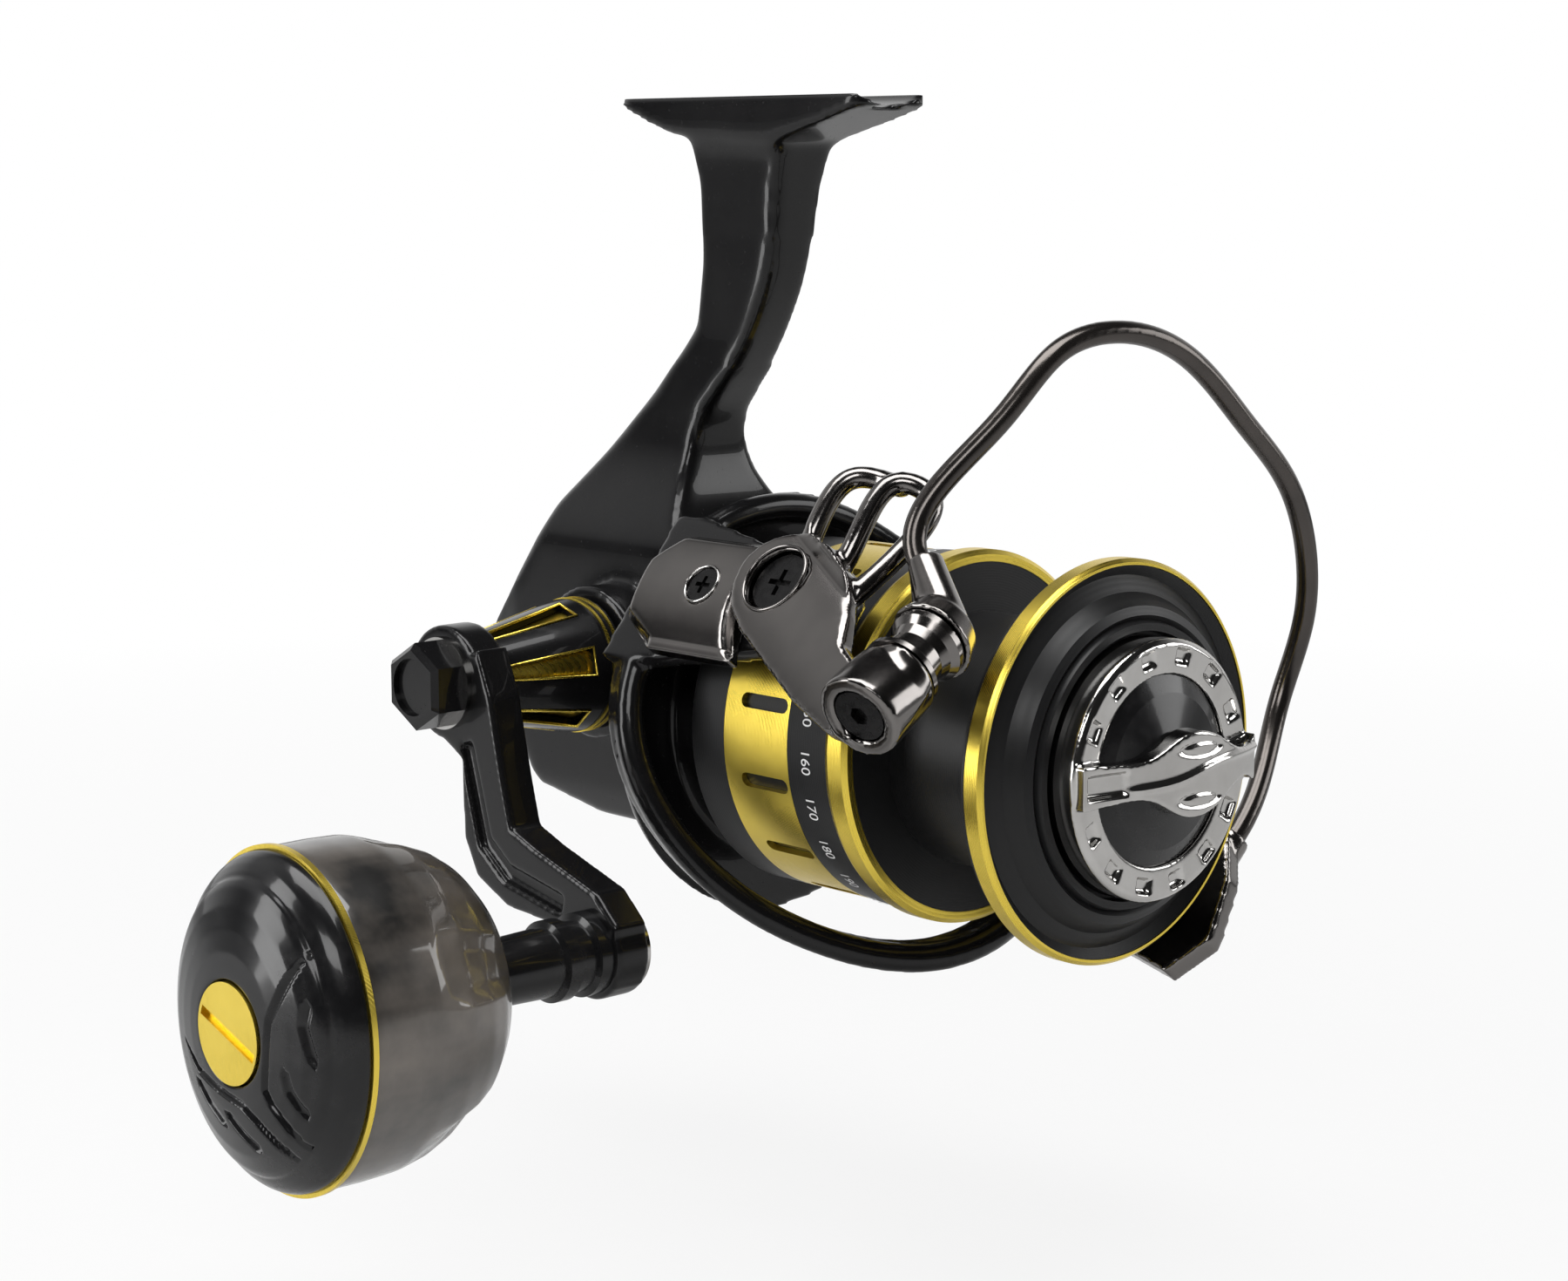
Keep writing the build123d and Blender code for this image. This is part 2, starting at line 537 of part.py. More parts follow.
SLEEVE_BASE = 30.2        # the gold sleeve sits in this groove of the black skirt
SLOTS = 14
with BuildPart() as skirt:
    turn([(SKIRT_REAR, SKIRT_INNER + 1), (SKIRT_REAR, LIP_RADIUS - 1.9),
          (SKIRT_REAR + 0.8, LIP_RADIUS - 1.2),
          (SLEEVE_REAR, LIP_RADIUS - 1.2), (SLEEVE_REAR, SLEEVE_BASE), (BAND_REAR, SLEEVE_BASE),
          (BAND_REAR, LIP_RADIUS - 1.2), (LIP_REAR - 0.05, LIP_RADIUS - 0.6),
              (LIP_REAR - 0.05, SKIRT_INNER + 1.5),
          (LIP_REAR - 2, SKIRT_INNER), (SKIRT_REAR + 2, SKIRT_INNER)])
keep(skirt, "skirt")

with BuildPart() as skirt_sleeve:
    ring(SLEEVE_REAR + 0.05, BAND_REAR - 0.05, SLEEVE_BASE + 0.05, LIP_RADIUS - 1.2)
    # long slots, open and rounded at the front
    for slot in range(SLOTS):
        angle = 360 / SLOTS * slot
        slot_plane = Plane(SPOOL.origin, x_dir=(1, 0, 0), z_dir=(0, sin(radians(angle)),
                                                                 cos(radians(angle))))
        with BuildSketch(slot_plane.offset(SKIRT_INNER)):
            with Locations((34.6, 0)):
                SlotOverall(11.5, 2.6)
        extrude(amount=5, mode=Mode.SUBTRACT)
keep(skirt_sleeve, "skirt_sleeve")

with BuildPart() as click_ratchet:
    with BuildSketch(across(SPOOL, 41.25)):
        Polygon(*spur_outline(30, 0.8), align=None)
        Circle(SHAFT_RADIUS + 3.4, mode=Mode.SUBTRACT)
    extrude(amount=-2)
keep(click_ratchet, "click_ratchet")

# drag stack: fibre discs turn with the spool, keyed plates with the shaft
DISC = 2.2
with BuildPart() as drag_washers:
    for layer in range(3):
        start = 66.1 + 2 * DISC * layer
        ring(start, start + DISC - 0.1, SHAFT_RADIUS + 0.3, CHAMBER - 0.15)
keep(drag_washers, "drag_washers")

with BuildPart() as drag_plates:
    for layer in range(2):
        start = 66.1 + DISC * (2 * layer + 1)
        ring(start, start + DISC - 0.1, SHAFT_RADIUS, CHAMBER - 0.5)
keep(drag_plates, "drag_plates")

with BuildPart() as drag_retainer:
    ring(78, 79.2, CHAMBER - 1.8, CHAMBER - 0.05)
keep(drag_retainer, "drag_retainer")

# ================================================================ drag knob
KNOB_BASE = 90.0
KNOB_TOP = 97.5
KNOB_RIM = 21.8
BAR_TOP = 104.0
KNOB_FLOOR = KNOB_TOP - 4  # floor of the round recess that the inserts sit in
with BuildPart() as drag_knob:
    ring(82, KNOB_BASE + 0.5, 11, 13.5)
    turn([(KNOB_BASE, 9), (KNOB_BASE, KNOB_RIM - 0.6), (KNOB_BASE + 1, KNOB_RIM),
          (KNOB_TOP - 0.8, KNOB_RIM),
          (KNOB_TOP, KNOB_RIM - 1), (KNOB_TOP - 0.5, 16), (KNOB_FLOOR, 16), (KNOB_FLOOR, 9)])
    # notches round the ring
    for notch in range(14):
        notch_plane = across(SPOOL, KNOB_TOP + 0.6, 360 / 14 * notch + 12)
        with BuildSketch(notch_plane):
            with Locations((19, 0)):
                Rectangle(3.6, 4.4)
        extrude(amount=-1.7, taper=25, mode=Mode.SUBTRACT)
    # twist bar across the diameter, swollen in the middle
    with BuildSketch(across(SPOOL, KNOB_TOP - 3, -90)):
        with BuildLine():
            Spline((-21.4, -3.6), (-14, -3.2), (-7, -3.6), (-1, -6.6), (6, -6.4), (12, -3.6), (21.4, -4))
            Line((21.4, -4), (21.4, 4))
            Spline((21.4, 4), (12, 3.6), (6, 6.4), (-1, 6.6), (-7, 3.6), (-14, 3.2), (-21.4, 3.6))
            Line((-21.4, 3.6), (-21.4, -3.6))
        make_face()
    extrude(amount=BAR_TOP - KNOB_TOP + 3)
    # the bar is low at its ends and highest right of its middle
    with BuildSketch(Plane.XY.offset(SPOOL_Z - 10)):
        with BuildLine():
            Spline((KNOB_TOP + 2, -22.5), (KNOB_TOP + 3.6, -10), (BAR_TOP - 0.6, 2), (BAR_TOP - 1, 10),
                   (KNOB_TOP + 1.8, 22.5))
            Polyline((KNOB_TOP + 1.8, 22.5), (BAR_TOP + 6, 22.5), (BAR_TOP + 6, -22.5),
                     (KNOB_TOP + 2, -22.5))
        make_face()
    extrude(amount=20, mode=Mode.SUBTRACT)
    ring(KNOB_BASE - 1, SHAFT_TIP + 0.6, 0, SHAFT_RADIUS + 0.35, SPOOL, Mode.SUBTRACT)
    ring(KNOB_BASE - 1, KNOB_BASE + 2.2, 0, 9.1, SPOOL, Mode.SUBTRACT)
keep(drag_knob, "drag_knob")

with BuildPart() as drag_inserts:
    turn([(KNOB_FLOOR + 0.05, 0), (KNOB_FLOOR + 0.05, 15.9), (KNOB_TOP - 1, 15.9), (KNOB_TOP + 0.2, 13),
          (KNOB_TOP + 1.4, 7), (KNOB_TOP + 1.7, 0)])
    ring(KNOB_FLOOR, KNOB_TOP + 3, 0, SHAFT_RADIUS + 0.4, SPOOL, Mode.SUBTRACT)
    add(drag_knob.part, mode=Mode.SUBTRACT)
keep(drag_inserts, "drag_inserts")

with BuildPart() as drag_nut:
    with BuildSketch(across(SPOOL, KNOB_BASE + 0.3)):
        RegularPolygon(8.6, 6)
        Circle(SHAFT_RADIUS + FIT, mode=Mode.SUBTRACT)
    extrude(amount=1.8)
keep(drag_nut, "drag_nut")

with BuildPart() as drag_spring:
    with BuildLine() as coil:
        Helix(pitch=3.2, height=9.0, radius=8, center=(79.8, 0, SPOOL_Z), direction=(1, 0, 0))
    with BuildSketch(Plane(coil.line @ 0, z_dir=coil.line % 0)):
        Circle(0.8)
    sweep()
keep(drag_spring, "drag_spring")

with BuildPart() as drag_seal:
    ring(84.2, 86.6, 13.55, CHAMBER - GAP)
keep(drag_seal, "drag_seal")

# ================================================================ rotor
ARM_OUTLINE = [(3, -15), (10, -15), (40, -9), (46, -9.5), (46, 9.5), (40, 9), (10, 15), (3, 15)]
DRUM_RADIUS = 26.8
REAR_SCREW_X = 18.0
PLATE_RADIUS = 39.0


def on_rotor(x, side, out):
    """A point given by its place along the spool axis, sideways of the arm, and out along the arm."""
    return ROTOR.from_local_coords(Vector(x, side, out))


def round_rotor(x, angle, radius):
    """A point given by its angle from the bail arm and its distance from the spool axis."""
    return on_rotor(x, radius * sin(radians(angle)), radius * cos(radians(angle)))


def tube(points, radius):
    """A round bar along a smooth line through points."""
    with BuildLine() as route:
        Spline(*points)
    with BuildSketch(Plane(route.line @ 0, z_dir=route.line % 0)) as end:
        Circle(radius)
    sweep(end.sketch, path=route.line)


def arm_layer(outline, start, thickness, mode=Mode.ADD):
    """A flat layer square to the arm direction, between start and start + thickness."""
    with BuildSketch(ROTOR.offset(start)) as layer:
        with BuildLine():
            Polyline(*outline, close=True)
        make_face()
    extrude(layer.sketch, amount=thickness, mode=mode)


def arm_disc(x, side, start, thickness, radius, mode=Mode.ADD):
    """A disc square to the arm direction."""
    with BuildSketch(ROTOR.offset(start)) as layer:
        with Locations((x, side)):
            Circle(radius)
    extrude(layer.sketch, amount=thickness, mode=mode)


with BuildPart() as rotor:
    turn([(3, 14.2), (14.6, 14.2), (14.6, PINION_JOURNAL), (17.8, PINION_JOURNAL), (17.8, 16.5),
          (6.5, 16.5),
          (6.5, DRUM_RADIUS - 2.3), (39, DRUM_RADIUS - 2.3), (39, DRUM_RADIUS), (6.5, DRUM_RADIUS),
          (6.5, PLATE_RADIUS), (3, PLATE_RADIUS - 1.5)])
    for side in (1, -1):
        arm_layer(ARM_OUTLINE, side * ARM_IN, side * (ARM_OUT - ARM_IN))
        arm_disc(PIVOT_X, 0, side * ARM_IN, side * (ARM_OUT - ARM_IN), 9.5)
        arm_layer([(3, -15), (7.4, -15), (7.4, 15), (3, 15)], side * 32, side * 6)
    # open bands that sweep from the bail arm's rear corners to the other arm's pivot end
    for shift, drop, radius in ((0, 0, 2.6), (-3.2, 0.6, 2.2)):
        tube([round_rotor(10 + shift, -18, 39.4 - drop), round_rotor(13 + shift, -40, 42 - drop),
              round_rotor(22 + shift, -68, 42 - drop), round_rotor(37 + shift, -98, 41.2 - drop),
              round_rotor(49 + shift, -130, 40 - drop), round_rotor(50 + shift, -156, 38.6 - drop),
              round_rotor(44 + shift, -172, 37 - drop)], radius)
    tube([round_rotor(9, 18, 39.6), round_rotor(9.5, 40, 37.6), round_rotor(10, 68, 35.6),
          round_rotor(15, 98, 35.4),
          round_rotor(30, 130, 36), round_rotor(40, 156, 36.6), round_rotor(43, 172, 37)], 2.4)
    ring(0, 60, 0, DRUM_RADIUS - 2.3, SPOOL, Mode.SUBTRACT)
    turn([(3, 14.2), (14.6, 14.2), (14.6, PINION_JOURNAL), (17.8, PINION_JOURNAL), (17.8, 16.5),
          (6.5, 16.5),
          (6.5, DRUM_RADIUS - 2.3), (3, DRUM_RADIUS - 2.3)])
    for side in (1, -1):
        arm_disc(PIVOT_X, 0, side * (ARM_IN - 1), side * 6, 3, Mode.SUBTRACT)
    arm_disc(25, -1, ARM_IN - 1, 6, 1.5, Mode.SUBTRACT)
    arm_disc(REAR_SCREW_X, 1, -ARM_IN + 1, -6, 1.5, Mode.SUBTRACT)
keep(rotor, "rotor")

with BuildPart() as pinion:
    ring(-12.8, 24, 0, PINION_JOURNAL)
    with BuildSketch(across(SPOOL, -9.6)):
        Polygon(*spur_outline(9, 1.08), align=None)
    extrude(amount=5.8)
    ring(-13, 25, 0, SHAFT_RADIUS + 0.08, SPOOL, Mode.SUBTRACT)
keep(pinion, "pinion")

with BuildPart() as rotor_nut:
    with BuildSketch(across(SPOOL, 17.8)):
        RegularPolygon(8.5, 6)
        Circle(PINION_JOURNAL, mode=Mode.SUBTRACT)
    extrude(amount=4.2)
keep(rotor_nut, "rotor_nut")

COVER_OUT = 45.4
OUTWARD = Axis(ROTOR.origin, ROTOR.z_dir)
with BuildPart() as arm_cover:
    with BuildSketch(ROTOR.offset(ARM_OUT + 0.05)):
        with BuildLine():
            Polyline((39.8, 9.5), (13, 9.5), (8, 3), (8, -8), (17, -13.5), (38.4, -13.5))
            ThreePointArc((38.4, -13.5), (34.9, 0), (39.8, 9.5))
        make_face()
    extrude(amount=COVER_OUT - ARM_OUT - 1.8)
    extrude(arm_cover.faces().sort_by(OUTWARD)[-1], amount=1.8, taper=40)
    # hollow for the bail spring
    arm_layer([(12, 2.2), (33, 2.2), (33, 7.2), (12, 7.2)], ARM_OUT, 4, Mode.SUBTRACT)
    arm_disc(25, -1, ARM_OUT - 1, 10, 1.6, Mode.SUBTRACT)
    arm_disc(25, -1, COVER_OUT - 1.8, 4, 3.4, Mode.SUBTRACT)
keep(arm_cover, "arm_cover")

with BuildPart() as arm_cover_rear:
    arm_layer([(9, -9), (27.5, -8), (27.5, 8), (9, 9)], -ARM_OUT - 0.05, -2)
    with BuildSketch(ROTOR.offset(-ARM_OUT - 2.05)) as top:
        with Locations((18.2, 0)):
            Rectangle(18, 16)
    extrude(top.sketch, amount=-2, taper=40)
    arm_disc(REAR_SCREW_X, 1, -ARM_OUT + 1, -10, 1.6, Mode.SUBTRACT)
    arm_disc(REAR_SCREW_X, 1, -ARM_OUT - 2.3, -4, 3.4, Mode.SUBTRACT)
keep(arm_cover_rear, "arm_cover_rear")

with BuildPart() as arm_cover_screws:
    for side, along, offset_, seat in ((1, 25, -1, COVER_OUT - 1.8), (-1, REAR_SCREW_X, 1, ARM_OUT + 2.3)):
        arm_disc(along, offset_, side * (ARM_IN + 0.5), side * (seat - ARM_IN - 0.4), 1.45)
        arm_disc(along, offset_, side * seat, side * 1.5, 3.2)
        with BuildSketch(ROTOR.offset(side * (seat + 1.5))) as cross:
            with Locations((along, offset_)):
                Rectangle(3.4, 0.8)
                Rectangle(0.8, 3.4)
        extrude(cross.sketch, amount=-side * 0.9, mode=Mode.SUBTRACT)
keep(arm_cover_screws, "arm_cover_screws")

with BuildPart() as bail_spring:
    spring_start = on_rotor(13, 4.7, ARM_OUT + 2.1)
    with BuildLine() as coil:
        Helix(pitch=1.9, height=17, radius=1.5, center=spring_start, direction=(1, 0, 0))
    with BuildSketch(Plane(coil.line @ 0, z_dir=coil.line % 0)):
        Circle(0.4)
    sweep()
keep(bail_spring, "bail_spring")

PIVOT_SEATS = {1: 46.6, -1: 43.6}   # the screw heads sit at these distances from the spool axis
with BuildPart() as pivot_screws:
    for side, seat in PIVOT_SEATS.items():
        arm_disc(PIVOT_X, 0, side * (ARM_IN + 0.2), side * (seat - ARM_IN), 3)
        arm_disc(PIVOT_X, 0, side * seat, side * 1.4, 5.4)
        with BuildSketch(ROTOR.offset(side * (seat + 1.4))) as cross:
            with Locations((PIVOT_X, 0)):
                Rectangle(5, 1)
                Rectangle(1, 5)
        extrude(cross.sketch, amount=-side * 1, mode=Mode.SUBTRACT)
keep(pivot_screws, "pivot_screws")

# ================================================================ bail
ROLLER_X = 80.0           # middle of the line roller
ROLLER_SIDE = -8.6
ROLLER_OUT = 45.0
ROLLER_WAY = ROTOR.y_dir * 0.893 - ROTOR.x_dir * 0.134 - ROTOR.z_dir * 0.43   # leans in towards the wire
ROLLER = Plane(origin=on_rotor(ROLLER_X, ROLLER_SIDE, ROLLER_OUT), x_dir=ROLLER_WAY,
               z_dir=Vector(1, 0, 0).cross(ROLLER_WAY))
BARREL_RADIUS = 7.2
SCREW_RADIUS = 2.0

WIRE_PLANE_X = 68.0       # the wire's arch starts here
WIRE_LEAN = 80.0          # angle between the arch's plane and the spool axis
WIRE_ARCH = [(45.6, 10), (46.8, 36), (44.5, 52.4), (35.1, 62.7), (20.8, 68.3), (0, 68.6), (-17, 67.4),
             (-30.7, 61.4), (-39.6, 52.8), (-45.9, 39.3)]


def on_arch(out, height):
    """A point of the wire's arch, given across the spool and along the arch's plane."""
    return on_rotor(WIRE_PLANE_X + height * cos(radians(WIRE_LEAN)), height * sin(radians(WIRE_LEAN)), out)


with BuildPart() as bail_wire:
    wire_points = [on_rotor(72, 7.5, 43.6)] + [on_arch(out, height) for out, height in WIRE_ARCH]
    wire_points += [on_rotor(78.6, 20, -46.4), on_rotor(80, 6, -43.6)]
    tube(wire_points, WIRE_RADIUS)
keep(bail_wire, "bail_wire")

with BuildPart() as wire_cone:
    with BuildSketch(across(ROLLER, 5.0)) as cone_base:
        Circle(BARREL_RADIUS)
    with BuildSketch(across(ROLLER, 9.0)) as cone_middle:
        Circle(BARREL_RADIUS - 1.2)
    extrude(cone_base.sketch, amount=4, taper=14)
    cone_tip = Plane(on_rotor(71.2, 9.4, 44.6), z_dir=(on_arch(45.6, 10) - on_rotor(75, 2, 43)))
    with BuildSketch(cone_tip) as tip:
        Circle(2.9)
    loft([cone_middle.sketch.face(), tip.sketch.face()])
    ring(4, 12, 0, SCREW_RADIUS, ROLLER, Mode.SUBTRACT)
    add(bail_wire.part, mode=Mode.SUBTRACT)
keep(wire_cone, "wire_cone")

LEVER_OUTLINE = [(42, -9.4), (52, -15), (62, -20.5), (73, -25), (80.5, -26), (82.5, -18.5), (74.5, -14),
                 (68, -10),
                 (65.5, -4.5), (61, 3), (54, 7.5), (43, 9.5)]
LEVER_STEP = 45.8         # beyond the pivot the lever lies outside the arm cover
LEVER_TOP = 49.6
with BuildPart() as bail_lever:
    arm_layer(LEVER_OUTLINE, LEVER_STEP, LEVER_TOP - LEVER_STEP)
    arm_disc(PIVOT_X, 0, LEVER_IN, LEVER_TOP - LEVER_IN, 9.6)
    ring(-16.5, -5.1, 0, BARREL_RADIUS, ROLLER)
    # two guard hoops on the far side of the lever, joined by a bar
    tube([on_rotor(44, 6, 43.5), on_rotor(45, 15, 46), on_rotor(47, 23, 45), on_rotor(52, 24, 43),
          on_rotor(57, 23, 43.5)], 1.9)
    tube([on_rotor(53, 3, 44), on_rotor(56, 14, 46.5), on_rotor(58, 23, 45), on_rotor(62, 23, 42.6),
          on_rotor(64, 12, 43), on_rotor(61, -3, 47.2)], 1.9)
    arm_disc(PIVOT_X, 0, LEVER_IN - 3, 20, 3 + FIT, Mode.SUBTRACT)
    arm_disc(PIVOT_X, 0, PIVOT_SEATS[1] - 0.1, 20, 6, Mode.SUBTRACT)
    ring(-5.1, 5.2, 0, BARREL_RADIUS + 0.8, ROLLER, Mode.SUBTRACT)
    ring(-18, -3.6, 0, SCREW_RADIUS + 0.03, ROLLER, Mode.SUBTRACT)
    ring(-17, -14.4, 0, 4.6, ROLLER, Mode.SUBTRACT)
keep(bail_lever, "bail_lever")

with BuildPart() as roller_screw:
    ring(-14.4, 11.5, 0, SCREW_RADIUS - 0.02, ROLLER)
    ring(-16, -14.4, 0, 4.4, ROLLER)
    with BuildSketch(across(ROLLER, -16)) as socket:
        RegularPolygon(1.7, 6)
    extrude(socket.sketch, amount=1.2, mode=Mode.SUBTRACT)
keep(roller_screw, "roller_screw")

with BuildPart() as line_roller:
    turn([(-4.6, 3.6), (-4.6, 6.6), (-3.6, 6.6), (-2.2, 5.2), (0.4, 4.9), (2.2, 5.4), (3.4, 6.4),
          (4.6, 6.4),
          (4.6, 3.6)], ROLLER)
keep(line_roller, "line_roller")

with BuildPart() as roller_bearing:
    with BuildSketch(across(ROLLER, -4.2, 120)):
        Circle(3.58)
        Circle(SCREW_RADIUS + 0.01, mode=Mode.SUBTRACT)
    extrude(amount=8.4)
keep(roller_bearing, "roller_bearing")

with BuildPart() as bail_lever_rear:
    arm_layer([(42, -7.8), (58, -14), (82, -19.5), (88, -12), (86, 0), (82, 8), (70, 7), (52, 8), (44, 8)],
              -LEVER_IN, -4.2)
    arm_disc(PIVOT_X, 0, -LEVER_IN, LEVER_IN - LEVER_OUT, 8.6)
    tube([on_rotor(79.9, 9, -44.2), on_rotor(80, 6, -43.6), on_rotor(80.2, 2, -42.9)], 3.3)
    arm_disc(PIVOT_X, 0, -LEVER_IN + 3, -20, 3 + FIT, Mode.SUBTRACT)
    arm_disc(PIVOT_X, 0, -PIVOT_SEATS[-1] + 0.1, -20, 6, Mode.SUBTRACT)
    add(bail_wire.part, mode=Mode.SUBTRACT)
keep(bail_lever_rear, "bail_lever_rear")
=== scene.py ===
# %% [markdown]
# A large fixed-spool fishing reel. Its solid parts come packed from the CAD model, already in place and in
# metres. This lesson gives them their real looks: soft-edged castings, black lacquer, black chrome, anodised
# gold, polished chrome, and the small raised and engraved details that a machinist's model leaves out.

# %% Load the reel and note its size
import json
import math

import bmesh
import bpy
import numpy as np
from mathutils import Matrix, Vector


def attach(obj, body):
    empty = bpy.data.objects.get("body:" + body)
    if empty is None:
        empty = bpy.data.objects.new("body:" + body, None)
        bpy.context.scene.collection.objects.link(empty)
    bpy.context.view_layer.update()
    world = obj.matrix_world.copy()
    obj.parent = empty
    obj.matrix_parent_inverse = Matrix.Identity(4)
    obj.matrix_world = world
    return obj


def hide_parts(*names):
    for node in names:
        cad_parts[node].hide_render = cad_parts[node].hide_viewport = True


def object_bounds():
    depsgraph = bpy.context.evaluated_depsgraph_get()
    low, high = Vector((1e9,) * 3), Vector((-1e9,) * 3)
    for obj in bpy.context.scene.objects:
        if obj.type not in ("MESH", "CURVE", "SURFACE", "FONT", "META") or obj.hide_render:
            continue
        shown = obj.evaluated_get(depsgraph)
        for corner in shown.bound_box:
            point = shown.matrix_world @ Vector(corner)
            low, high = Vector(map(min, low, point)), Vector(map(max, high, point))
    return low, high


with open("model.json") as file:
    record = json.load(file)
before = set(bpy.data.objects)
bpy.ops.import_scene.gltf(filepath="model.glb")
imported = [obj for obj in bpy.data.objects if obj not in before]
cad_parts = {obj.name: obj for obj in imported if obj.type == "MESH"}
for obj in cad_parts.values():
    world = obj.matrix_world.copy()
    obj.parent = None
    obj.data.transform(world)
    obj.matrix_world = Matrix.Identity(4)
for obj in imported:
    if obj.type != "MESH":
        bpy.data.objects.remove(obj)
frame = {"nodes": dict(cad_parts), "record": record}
nodes = frame["nodes"]
cad_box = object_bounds()
MM = 0.001
print("parts:", len(nodes), "box:", [list(corner) for corner in cad_box])

# %% [markdown]
# The reel has a few directions that everything follows: the spool's axis runs forward, the crank's axis
# runs sideways, and the bail arm stands out from the spool's axis at 38 degrees above the horizontal.
# Two small functions turn a place given along those directions, in millimetres, into a point in the
# reel's own frame, in metres.

# %% Directions of the reel
SPOOL_Z = -110.5
CRANK_X = -17
CRANK_Z = -103
KNOB_X = 22
KNOB_Z = -144.5
SPOOL_CENTRE = Vector((0, 0, SPOOL_Z)) * MM
CRANK_CENTRE = Vector((CRANK_X, 0, CRANK_Z)) * MM
ARM_ANGLE = math.radians(38)
ARM_OUTWARD = Vector((0, -math.cos(ARM_ANGLE), math.sin(ARM_ANGLE)))
ARM_SIDEWAYS = Vector((0, math.sin(ARM_ANGLE), math.cos(ARM_ANGLE)))
FORWARD = Vector((1, 0, 0))


def on_arm(x, side, out):
    """A point given in millimetres along the spool, sideways of the arm, and outwards along the arm."""
    return SPOOL_CENTRE + (FORWARD * x + ARM_SIDEWAYS * side + ARM_OUTWARD * out) * MM


def round_spool(x, angle, radius):
    """A point round the spool's axis: 0 degrees is up, 90 degrees is the crank's side."""
    turned = math.radians(angle)
    return SPOOL_CENTRE + Vector((x, -radius * math.sin(turned), radius * math.cos(turned))) * MM


print("arm points out along", [round(v, 3) for v in ARM_OUTWARD])

# %% [markdown]
# Shader maths reads best as ordinary arithmetic. A small class wraps one output socket of a node, and its
# operators add Math nodes. A second class holds one finish: its node tree, a method that adds any node, and
# the few patterns that several finishes share.

# %% Arithmetic on sockets
class Value:
    """One output socket of a node, on which ordinary arithmetic adds Math nodes."""

    def __init__(self, tree, socket):
        self.tree = tree
        self.socket = socket

    def math(self, operation, *others, clamp=False):
        node = self.tree.nodes.new("ShaderNodeMath")
        node.operation = operation
        node.use_clamp = clamp
        for slot, value in zip(node.inputs, (self, *others)):
            plug(self.tree, slot, value)
        return Value(self.tree, node.outputs[0])

    def flipped(self, operation, other):
        node = self.tree.nodes.new("ShaderNodeMath")
        node.operation = operation
        plug(self.tree, node.inputs[0], other)
        plug(self.tree, node.inputs[1], self)
        return Value(self.tree, node.outputs[0])

    def __add__(self, other):
        return self.math("ADD", other)

    def __radd__(self, other):
        return self.math("ADD", other)

    def __sub__(self, other):
        return self.math("SUBTRACT", other)

    def __rsub__(self, other):
        return self.flipped("SUBTRACT", other)

    def __mul__(self, other):
        return self.math("MULTIPLY", other)

    def __truediv__(self, other):
        return self.math("DIVIDE", other)

    def above(self, edge, soft):
        """0 below edge, 1 above it, with a soft step between."""
        return ((self - edge) / soft).math("ADD", 0.5, clamp=True)


def plug(tree, slot, value):
    """Links a Value to an input socket, or sets the socket to a plain number or colour."""
    if isinstance(value, Value):
        tree.links.new(value.socket, slot)
    else:
        slot.default_value = value


print("operators ready")

# %% One finish
class Finish:
    """One material: a Principled shader, constants on its sockets, and patterns that feed it."""

    def __init__(self, name, **constants):
        self.material = bpy.data.materials.new(name)
        self.material.use_nodes = True
        self.tree = self.material.node_tree
        self.tree.nodes.clear()
        output = self.tree.nodes.new("ShaderNodeOutputMaterial")
        self.shader = self.tree.nodes.new("ShaderNodeBsdfPrincipled")
        self.tree.links.new(self.shader.outputs[0], output.inputs[0])
        for socket, value in constants.items():
            self.shader.inputs[socket.replace("_", " ")].default_value = value
        self.place = self.node("ShaderNodeTexCoord", out="Object")

    def node(self, kind, inputs=None, out=0):
        made = self.tree.nodes.new(kind)
        for name, value in (inputs or {}).items():
            plug(self.tree, made.inputs[name], value)
        return Value(self.tree, made.outputs[out])

    def feed(self, socket, value):
        plug(self.tree, self.shader.inputs[socket], value)

    def noise(self, scale, detail, rough=0.55, where=None):
        return self.node("ShaderNodeTexNoise", inputs={"Vector": where or self.place, "Scale": scale,
                                                       "Detail": detail, "Roughness": rough})

    def stretched(self, scale, stretch):
        """Noise drawn out along one direction, for brushed or turned metal."""
        place = self.node("ShaderNodeMapping", inputs={"Vector": self.place, "Scale": stretch})
        return self.noise(scale, 2.0, 0.5, place)

    def mix(self, factor, first, second):
        node = self.tree.nodes.new("ShaderNodeMix")
        node.data_type = "RGBA"
        plug(self.tree, node.inputs[0], factor)
        for slot, colour in ((node.inputs[6], first), (node.inputs[7], second)):
            plug(self.tree, slot, colour if isinstance(colour, Value) else (*colour, 1))
        return Value(self.tree, node.outputs[2])

    def bump(self, height, distance, strength):
        made = self.node("ShaderNodeBump", inputs={"Height": height, "Distance": distance,
                                                   "Strength": strength})
        self.feed("Normal", made)

    def axes(self):
        node = self.tree.nodes.new("ShaderNodeSeparateXYZ")
        plug(self.tree, node.inputs[0], self.place)
        return [Value(self.tree, node.outputs[i]) for i in range(3)]

    def from_axis(self):
        """Distance from the spool's axis, in metres."""
        x, y, z = self.axes()
        up = z - SPOOL_Z * MM
        return (y * y + up * up).math("SQRT")


print("finish class ready")

# %% [markdown]
# Gloss black is sprayed lacquer over cast aluminium. It is nearly black underneath with a clear, hard top
# layer, so almost everything seen on it is a reflection. Real lacquer has a faint orange peel, a few fine
# rubbed patches where it is duller, and specks of dust.

